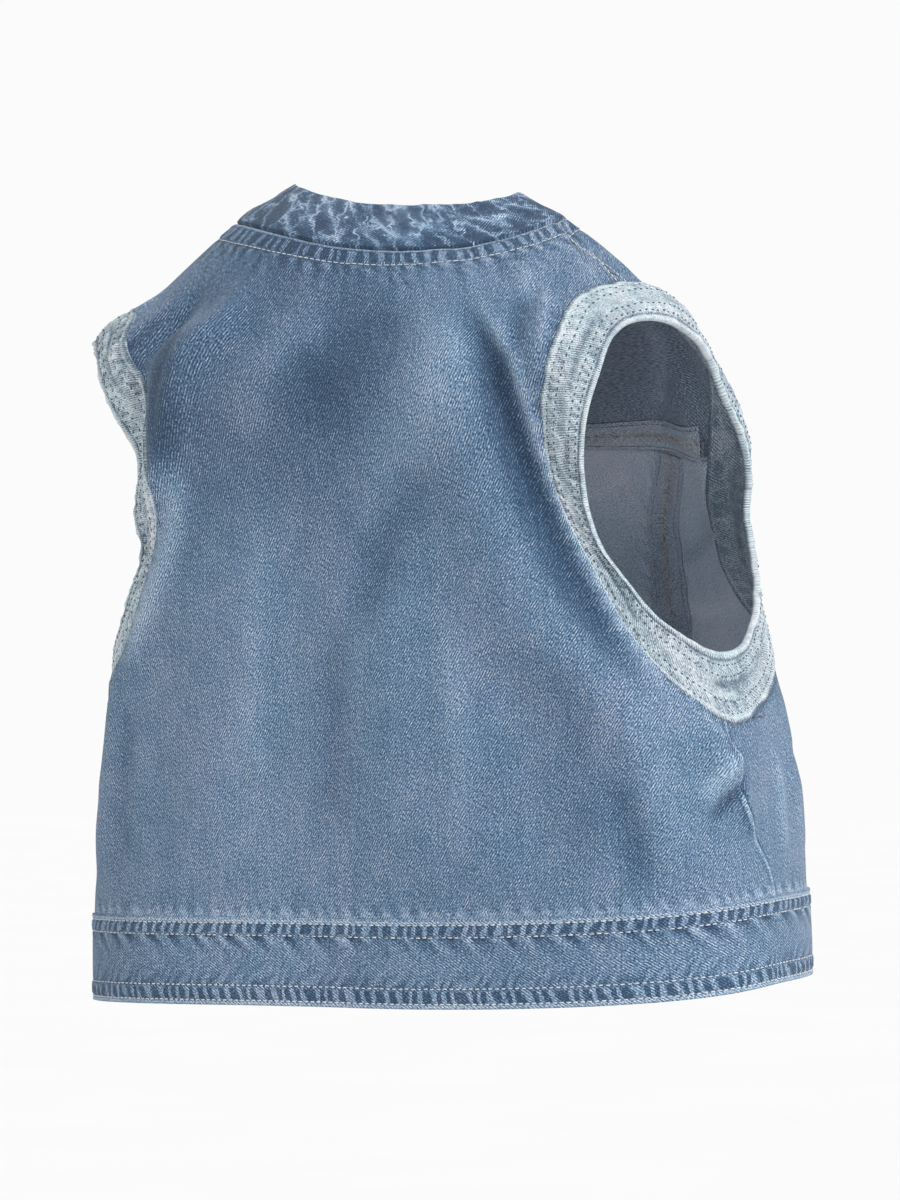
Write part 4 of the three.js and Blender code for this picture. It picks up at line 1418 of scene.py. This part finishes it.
class VEST_OT_armhole_bands(bpy.types.Operator):
    """Sew the bleached band round each armhole"""

    bl_idname = "vest.armhole_bands"
    bl_label = "Armhole bands"

    def execute(self, context):
        material = finish("bleached_denim", context)
        turns = steps(0.0, SHOULDER_TURN, ARMHOLE_GRID[0])
        across = steps(-BAND_OVERLAP / ARMHOLE_BAND_WIDTH, 1.0, ARMHOLE_GRID[1])
        for (side, tag), area in zip(SIDES, (0.0087, 0.0091)):
            cloth = armhole_cloth(turns[None, :], across[:, None], context.scene.vest_sizes, side)
            piece = sew_up(f"armhole_band_cloth_{tag}", cloth, material, True, side < 0)
            declare(piece, [f"armhole_band_{tag}"])
        return {"FINISHED"}


class VEST_OT_round_bands(bpy.types.Operator):
    """Sew on the neckband and the hem band"""

    bl_idname = "vest.round_bands"
    bl_label = "Neckband and hem band"

    def execute(self, context):
        sizes = context.scene.vest_sizes
        for node, low, high, (rows, columns), lay, look, flat, area in (
            ("neckband", 1.0 + NECK_GAP, NECKBAND_EDGE, NECKBAND_GRID, neckband_cloth,
             "neckband_denim", (0.345, 0.0296), 0.0101),
            ("hem_band", HEM_EDGE, -UP_GAP, HEM_BAND_GRID, hem_cloth,
             "hem_denim", (0.85, 0.0378), 0.0319),
        ):
            up = steps(low, high, rows)[:, None]
            start = around_at_front(PLACKET_WIDTH / 2, up) - 360.0
            end = around_at_front(-STAND_INNER_EDGE, up)
            around = mix(start, end, steps(0.0, 1.0, columns))
            piece = sew_up(f"{node}_cloth", lay(around, up, sizes), finish(look, context))
            declare(piece, [node])
        return {"FINISHED"}


class VEST_OT_front_strips(bpy.types.Operator):
    """Sew on the placket and the button stand behind it"""

    bl_idname = "vest.front_strips"
    bl_label = "Placket and button stand"

    def execute(self, context):
        sizes = context.scene.vest_sizes
        up = steps(UP_GAP, 1.0 - NECK_GAP, STRIP_GRID[0])[:, None]
        half = PLACKET_WIDTH / 2
        for node, left_edge, lift, seed, flat, area in (
            ("placket", half, 0.0, PLACKET_SEED, (0.032, 0.252), 0.008),
            ("button_stand", STAND_INNER_EDGE, -UNDERLAP_DEPTH, 91, (0.028, 0.252), 0.007),
        ):
            to_right = steps(half, -left_edge, STRIP_GRID[1])[None, :]
            cloth = strip_cloth(to_right, up, sizes, lift, left_edge, seed)
            piece = sew_up(f"{node}_cloth", cloth, finish("panel_denim", context))
            declare(piece, [node])
        return {"FINISHED"}


BUTTON_SIDES = 48
BUTTON_PROFILE = (
    # Share of the radius, height in shares of the head, and how dark the metal is there
    (0.30, -0.24, 0.9), (0.33, -0.02, 0.9), (0.86, 0.0, 0.8), (0.97, 0.16, 0.4), (1.0, 0.42, 0.1),
    (0.985, 0.68, 0.0), (0.93, 0.86, 0.0), (0.86, 0.93, 0.0), (0.79, 0.90, 0.3), (0.74, 0.80, 0.9),
    (0.69, 0.74, 1.0), (0.62, 0.76, 0.6), (0.50, 0.86, 0.1), (0.36, 0.94, 0.0), (0.24, 0.97, 0.1),
    (0.20, 0.93, 0.9), (0.16, 0.95, 0.3), (0.08, 1.0, 0.0), (0.0, 1.0, 0.0),
)


class VEST_OT_buttons(bpy.types.Operator):
    """Fasten the six metal shank buttons down the front"""

    bl_idname = "vest.buttons"
    bl_label = "Buttons"

    def execute(self, context):
        sizes = context.scene.vest_sizes
        proud = sizes.doubled_cloth / MM / 2 + BUTTON_STANDOFF
        places = [("button_neckband", NECKBAND_BUTTON_UP, proud + BAND_PROUD)]
        places += [(f"button_placket_{i + 1}", up, proud) for i, up in enumerate(PLACKET_BUTTONS_UP)]
        places += [("button_hem_band", HEM_BUTTON_UP, proud + BAND_PROUD)]
        for node, up, lift in places:
            self.fasten(context, node, up, lift)
        return {"FINISHED"}

    @staticmethod
    def fasten(context, node, up, lift):
        sizes = context.scene.vest_sizes
        radius, height = sizes.button_diameter / MM / 2, sizes.button_height / MM
        out = normal_of(cloth_point, np.array(180.0), np.array(up))
        centre = cloth_point(180.0, up) + out * lift
        side = unit(np.cross(out, (0.0, 0.0, 1.0)))
        rise = np.cross(side, out)
        turn = steps(0.0, TURN, BUTTON_SIDES)
        profile = np.array(BUTTON_PROFILE)
        ring = np.cos(turn)[:, None] * side + np.sin(turn)[:, None] * rise
        grid = (
            centre
            + ring[None] * (radius * np.maximum(profile[:, 0], 0.004))[:, None, None]
            + out * (height * profile[:, 1])[:, None, None]
        )
        maker = MeshMaker()
        index = maker.add(grid[:, :-1], (profile[:, 2:], 0.0, 0.0))
        index = np.concatenate([index, index[:, :1]], 1)
        maker.join(index, np.zeros(index.shape + (2,)), True)
        piece = maker.make(f"{node}_metal", finish("button_metal", context))
        keep(piece)
        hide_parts(node)


# Places that a row's line is worked out from, how far short of an edge a row stops in degrees,
# and rows with their own stitch
ARMHOLE_ROW_STEPS, HEM_ROW_STEPS, FRONT_ROW_STEPS, NECK_ROW_STEPS = 700, 1200, 400, 700
ROW_END = 0.8
NECK_ROW_END = 164.0
ARMHOLE_STITCH = {"length": 1.25, "width": 0.75, "raise_by": 0.02}
NECK_STITCH = {"length": 2.4, "width": 0.5}
OVERLOCK_STITCH = {"pitch": 2.6, "length": 2.3, "width": 0.5}
OVERLOCK_PITCH = 2.4
ALLOWANCE_COLUMNS = 8


class VEST_OT_topstitching(bpy.types.Operator):
    """Sew the rows of topstitching along the bands and seams"""

    bl_idname = "vest.topstitching"
    bl_label = "Topstitching"

    def execute(self, context):
        sizes = context.scene.vest_sizes
        pale, slate = MeshMaker(), MeshMaker()
        self.sew_hem(pale, sizes)
        self.sew_front(pale, sizes)
        self.sew_neck(pale, sizes)
        self.sew_seams(pale, sizes)
        keep(pale.make("topstitching_pale", finish("pale_thread", context)))
        turns = steps(0.0, SHOULDER_TURN, ARMHOLE_ROW_STEPS)
        for side, _ in SIDES:
            for row in ARMHOLE_ROWS:
                cloth = armhole_cloth(turns, row / ARMHOLE_BAND_WIDTH, sizes, side)
                stitch_row(slate, cloth.outer, cloth.out, sizes, **ARMHOLE_STITCH)
        keep(slate.make("topstitching_slate", finish("slate_thread", context)))
        return {"FINISHED"}

    @staticmethod
    def sew_hem(maker, sizes):
        for depth in HEM_ROWS:
            up = -depth / MM_PER_UP
            start = float(around_at_front(PLACKET_WIDTH / 2, up)) - 360.0 + ROW_END
            end = float(around_at_front(-STAND_INNER_EDGE, up)) - ROW_END
            cloth = hem_cloth(steps(start, end, HEM_ROW_STEPS), up, sizes)
            stitch_row(maker, cloth.outer, cloth.out, sizes)

    @staticmethod
    def sew_front(maker, sizes):
        half = PLACKET_WIDTH / 2
        up = steps(0.006, 0.994, FRONT_ROW_STEPS)
        for from_edge in PLACKET_ROWS:
            for sign in (1, -1):
                to_right = sign * (half - from_edge)
                cloth = strip_cloth(to_right, up, sizes, 0.0, half, PLACKET_SEED)
                stitch_row(maker, cloth.outer, cloth.out, sizes)

    @staticmethod
    def sew_neck(maker, sizes):
        up = 1.0 - NECK_ROW / NECK_MM_PER_UP
        around = steps(-NECK_ROW_END, NECK_ROW_END, NECK_ROW_STEPS)
        cloth = panel_cloth(around, up, sizes, ("neck",), underlap(around, up))
        stitch_row(maker, cloth.outer, cloth.out, sizes, **NECK_STITCH)

    def sew_seams(self, maker, sizes):
        for side, _ in SIDES:
            for row in SEAM_ROWS:
                for seam, (around, up) in self.lines(row):
                    lift = lift_on(side)(side * around, up)
                    cloth = panel_cloth(side * around, up, sizes, (seam,), lift)
                    stitch_row(maker, cloth.outer, cloth.out, sizes)

    @staticmethod
    def lines(row):
        """Rows beside the shoulder, front and yoke seams, at a distance from each."""
        ups = steps(0.008, YOKE_CORNER_UP - 0.006, 300)
        yield "front", (front_seam(ups) + row / MM_PER_DEGREE, ups)
        arounds = steps(YOKE_ROW_FROM, YOKE_ROW_TO, 200)
        yield "yoke", (arounds, yoke_seam_up(arounds) + row / MM_PER_UP)
        along, across = np.diff(SEAM_LINES["shoulder"][[0, -1]], axis=0)[0]
        length = math.hypot(along, across)
        share = steps(0.05, 0.86, 90)
        x = SEAM_LINES["shoulder"][0, 0] + along * share + row * across / length
        y = SEAM_LINES["shoulder"][0, 1] + across * share - row * along / length
        yield "shoulder", (x / MM_PER_DEGREE, y / MM_PER_UP)


class VEST_OT_inside_seams(bpy.types.Operator):
    """Turn in the seam allowances and overlock them"""

    bl_idname = "vest.inside_seams"
    bl_label = "Inside seams"

    def execute(self, context):
        sizes = context.scene.vest_sizes
        cloths, threads = MeshMaker(), MeshMaker()
        for side, _ in SIDES:
            for number, (around, up, width) in enumerate(self.seams()):
                self.turn_in(cloths, threads, sizes, side, around, up, width, 100 + number)
        keep(cloths.make("seam_allowances", finish("panel_denim", context)))
        keep(threads.make("overlocking", finish("overlock_thread", context)))
        return {"FINISHED"}

    @staticmethod
    def seams():
        """Around and up of each seam's inside, and the width of its allowances."""
        ups = steps(0.004, YOKE_CORNER_UP - 0.004, 150)
        yield front_seam(ups), ups, 16.0
        ups = steps(0.004, UNDERARM_UP - 0.03, 60)
        yield side_seam(ups), ups, 14.0
        arounds = steps(YOKE_ROW_FROM, YOKE_ROW_TO, 70)
        yield arounds, yoke_seam_up(arounds) + 6.5 / MM_PER_UP, 13.0

    @staticmethod
    def turn_in(cloths, threads, sizes, side, around, up, width, seed):
        """A strip of cloth and its overlocking on the inside of a seam."""
        around = side * around
        spread = steps(-0.5, 0.5, ALLOWANCE_COLUMNS)
        over = np.gradient(around) * MM_PER_DEGREE, np.gradient(up) * MM_PER_UP
        length = np.hypot(*over)
        wide_a = around[:, None] + (over[1] / length)[:, None] * spread * width / MM_PER_DEGREE
        wide_u = up[:, None] - (over[0] / length)[:, None] * spread * width / MM_PER_UP
        cloth = panel_cloth(wide_a, wide_u, sizes, (), lift_on(side)(wide_a, wide_u))
        run = np.cumsum(length)[:, None]
        wave = 0.25 * puckers(run + 6 * spread, 6.5, seed) * (0.4 + np.abs(spread))
        edge = 0.55 * smooth((0.5 - np.abs(spread)) / 0.08)
        top = cloth.inner - cloth.out * (0.35 + edge + 0.2 * wave)[..., None]
        low = cloth.inner + cloth.out * 0.3
        for face, turned in ((top, False), (low, True)):
            cloths.join(cloths.add(face, (0.1, 0.3 * wave, 1.0)), cloth.thread, turned)
        middle = ALLOWANCE_COLUMNS // 2
        for column in (1, middle, ALLOWANCE_COLUMNS - 1):
            stitch_row(threads, top[:, column], -cloth.out[:, column], sizes, **OVERLOCK_STITCH)
        centre, run_way, share = resampled(top[:, middle], OVERLOCK_PITCH)
        out = -read_along(share, np.linspace(0.0, 1.0, len(top)), cloth.out[:, middle])
        over_edge = np.cross(out, run_way)
        for sign in (1, -1):
            slanted = unit(over_edge + 0.45 * sign * run_way)
            way = slanted - out * (slanted * out).sum(-1, keepdims=True)
            add_stitches(threads, centre + out * 0.1, way, out, width * 0.62, 0.4)


CAMERA_AHEAD = (0.5, -math.sqrt(0.75), 0.0)
CAMERA_RIGHT = (-math.sqrt(0.75), -0.5, 0.0)
CAMERA_AIM = (0.0, -0.026, -0.153)
CAMERA_ASIDE = 0.00783
CAMERA_ROLL = 1.2
CAMERA_REACH = 60.0
FLOOR_REACH = 14.0
BACKDROP = 0.965
# The way each light shines, its share of the key light and the degrees that it spreads over
LIGHTS = (
    ("key", (0.786, -0.262, -0.55), 1.0, 22.0),
    ("fill", (-0.25, -0.85, -0.45), 0.16, 60.0),
)


class VEST_OT_stage(bpy.types.Operator):
    """Set the pale floor, the soft light and the camera"""

    bl_idname = "vest.stage"
    bl_label = "Stage"

    def execute(self, context):
        stage = context.scene.vest_stage
        self.place_camera(context, stage)
        self.lay_floor(stage)
        self.light(context, stage)
        return {"FINISHED"}

    @staticmethod
    def place_camera(context, stage):
        ahead, right = Vector(CAMERA_AHEAD), Vector(CAMERA_RIGHT)
        up = Vector((0.0, 0.0, 1.0))
        aim = Vector(CAMERA_AIM) + right * CAMERA_ASIDE
        roll = math.radians(CAMERA_ROLL)
        tilted_right = right * math.cos(roll) - up * math.sin(roll)
        tilted_up = up * math.cos(roll) + right * math.sin(roll)
        camera = bpy.data.objects.new("camera", bpy.data.cameras.new("camera"))
        rotation = Matrix((tilted_right, tilted_up, -ahead)).transposed().to_4x4()
        place = Matrix.Translation(aim - ahead * stage.camera_distance)
        camera.matrix_world = place @ rotation
        camera.data.sensor_fit = "VERTICAL"
        camera.data.angle_y = 2 * math.atan(stage.picture_height / 2 / stage.camera_distance)
        camera.data.clip_end = CAMERA_REACH
        context.scene.collection.objects.link(camera)
        context.scene.camera = camera

    @staticmethod
    def lay_floor(stage):
        material, tree = fresh_tree("floor_paint")
        place = Shade.node(tree, "ShaderNodeTexCoord", None, None, "Object")
        grain = Shade.node(
            tree, "ShaderNodeTexNoise", None, {"Vector": place, "Scale": 3.0, "Detail": 2.0}
        )
        pale = (grain * 0.04 + 0.98) * stage.floor[0]
        base = Shade.node(tree, "ShaderNodeCombineColor", None, {0: pale, 1: pale, 2: pale})
        finish_surface(tree, {"Roughness": 0.9, "Specular IOR Level": 0.0}, {"Base Color": base})
        mesh = bpy.data.meshes.new("floor")
        corners = [
            (x * FLOOR_REACH, y * FLOOR_REACH, -stage.floor_depth)
            for x, y in ((-1, -1), (1, -1), (1, 1), (-1, 1))
        ]
        mesh.from_pydata(corners, [], [(0, 1, 2, 3)])
        mesh.materials.append(material)
        floor = bpy.data.objects.new("floor", mesh)
        bpy.context.scene.collection.objects.link(floor)

    @staticmethod
    def light(context, stage):
        world = bpy.data.worlds.new("studio")
        context.scene.world = world
        world.use_nodes = True
        tree = world.node_tree
        tree.nodes.clear()
        seen = Shade.node(tree, "ShaderNodeLightPath", None, None, "Is Camera Ray")
        strength = seen * (BACKDROP - stage.ambient) + stage.ambient
        shader = Shade.node(
            tree, "ShaderNodeBackground", None, {"Color": (1.0, 1.0, 1.0, 1.0), "Strength": strength}
        )
        Shade.node(tree, "ShaderNodeOutputWorld", None, {"Surface": shader}, None)
        for name, way, share, angle in LIGHTS:
            lamp = bpy.data.lights.new(name, "SUN")
            lamp.energy = share * stage.key_light
            lamp.angle = math.radians(angle)
            sun = bpy.data.objects.new(name, lamp)
            sun.rotation_mode = "QUATERNION"
            sun.rotation_quaternion = Vector(way).to_track_quat("-Z", "Y")
            context.scene.collection.objects.link(sun)
        context.scene.view_settings.view_transform = "Standard"
        context.scene.view_settings.look = "None"


OPERATORS = (
    VEST_OT_stage,
    VEST_OT_back,
    VEST_OT_fronts,
    VEST_OT_armhole_bands,
    VEST_OT_round_bands,
    VEST_OT_front_strips,
    VEST_OT_buttons,
    VEST_OT_topstitching,
    VEST_OT_inside_seams,
)


class VEST_PT_panel(bpy.types.Panel):
    """The vest's operators, sizes and colours"""

    bl_idname = "VEST_PT_panel"
    bl_label = "Denim vest"
    bl_space_type = "VIEW_3D"
    bl_region_type = "UI"
    bl_category = "Vest"

    def draw(self, context):
        for operator in OPERATORS:
            self.layout.operator(operator.bl_idname)
        for name in GROUPS:
            group, box = getattr(context.scene, name), self.layout.box()
            for size_or_colour in group.__annotations__:
                box.prop(group, size_or_colour)


GROUPS = {"vest_sizes": VestSizes, "vest_colours": VestColours, "vest_stage": VestStage}
CLASSES = (*GROUPS.values(), *OPERATORS, VEST_PT_panel)


def register():
    for item in CLASSES:
        bpy.utils.register_class(item)
    for name, group in GROUPS.items():
        setattr(bpy.types.Scene, name, bpy.props.PointerProperty(type=group))


def unregister():
    for name in GROUPS:
        delattr(bpy.types.Scene, name)
    for item in reversed(CLASSES):
        bpy.utils.unregister_class(item)


def main():
    register()
    for operator in OPERATORS:
        group, name = operator.bl_idname.split(".")
        getattr(getattr(bpy.ops, group), name)()


if __name__ == "__main__":
    main()
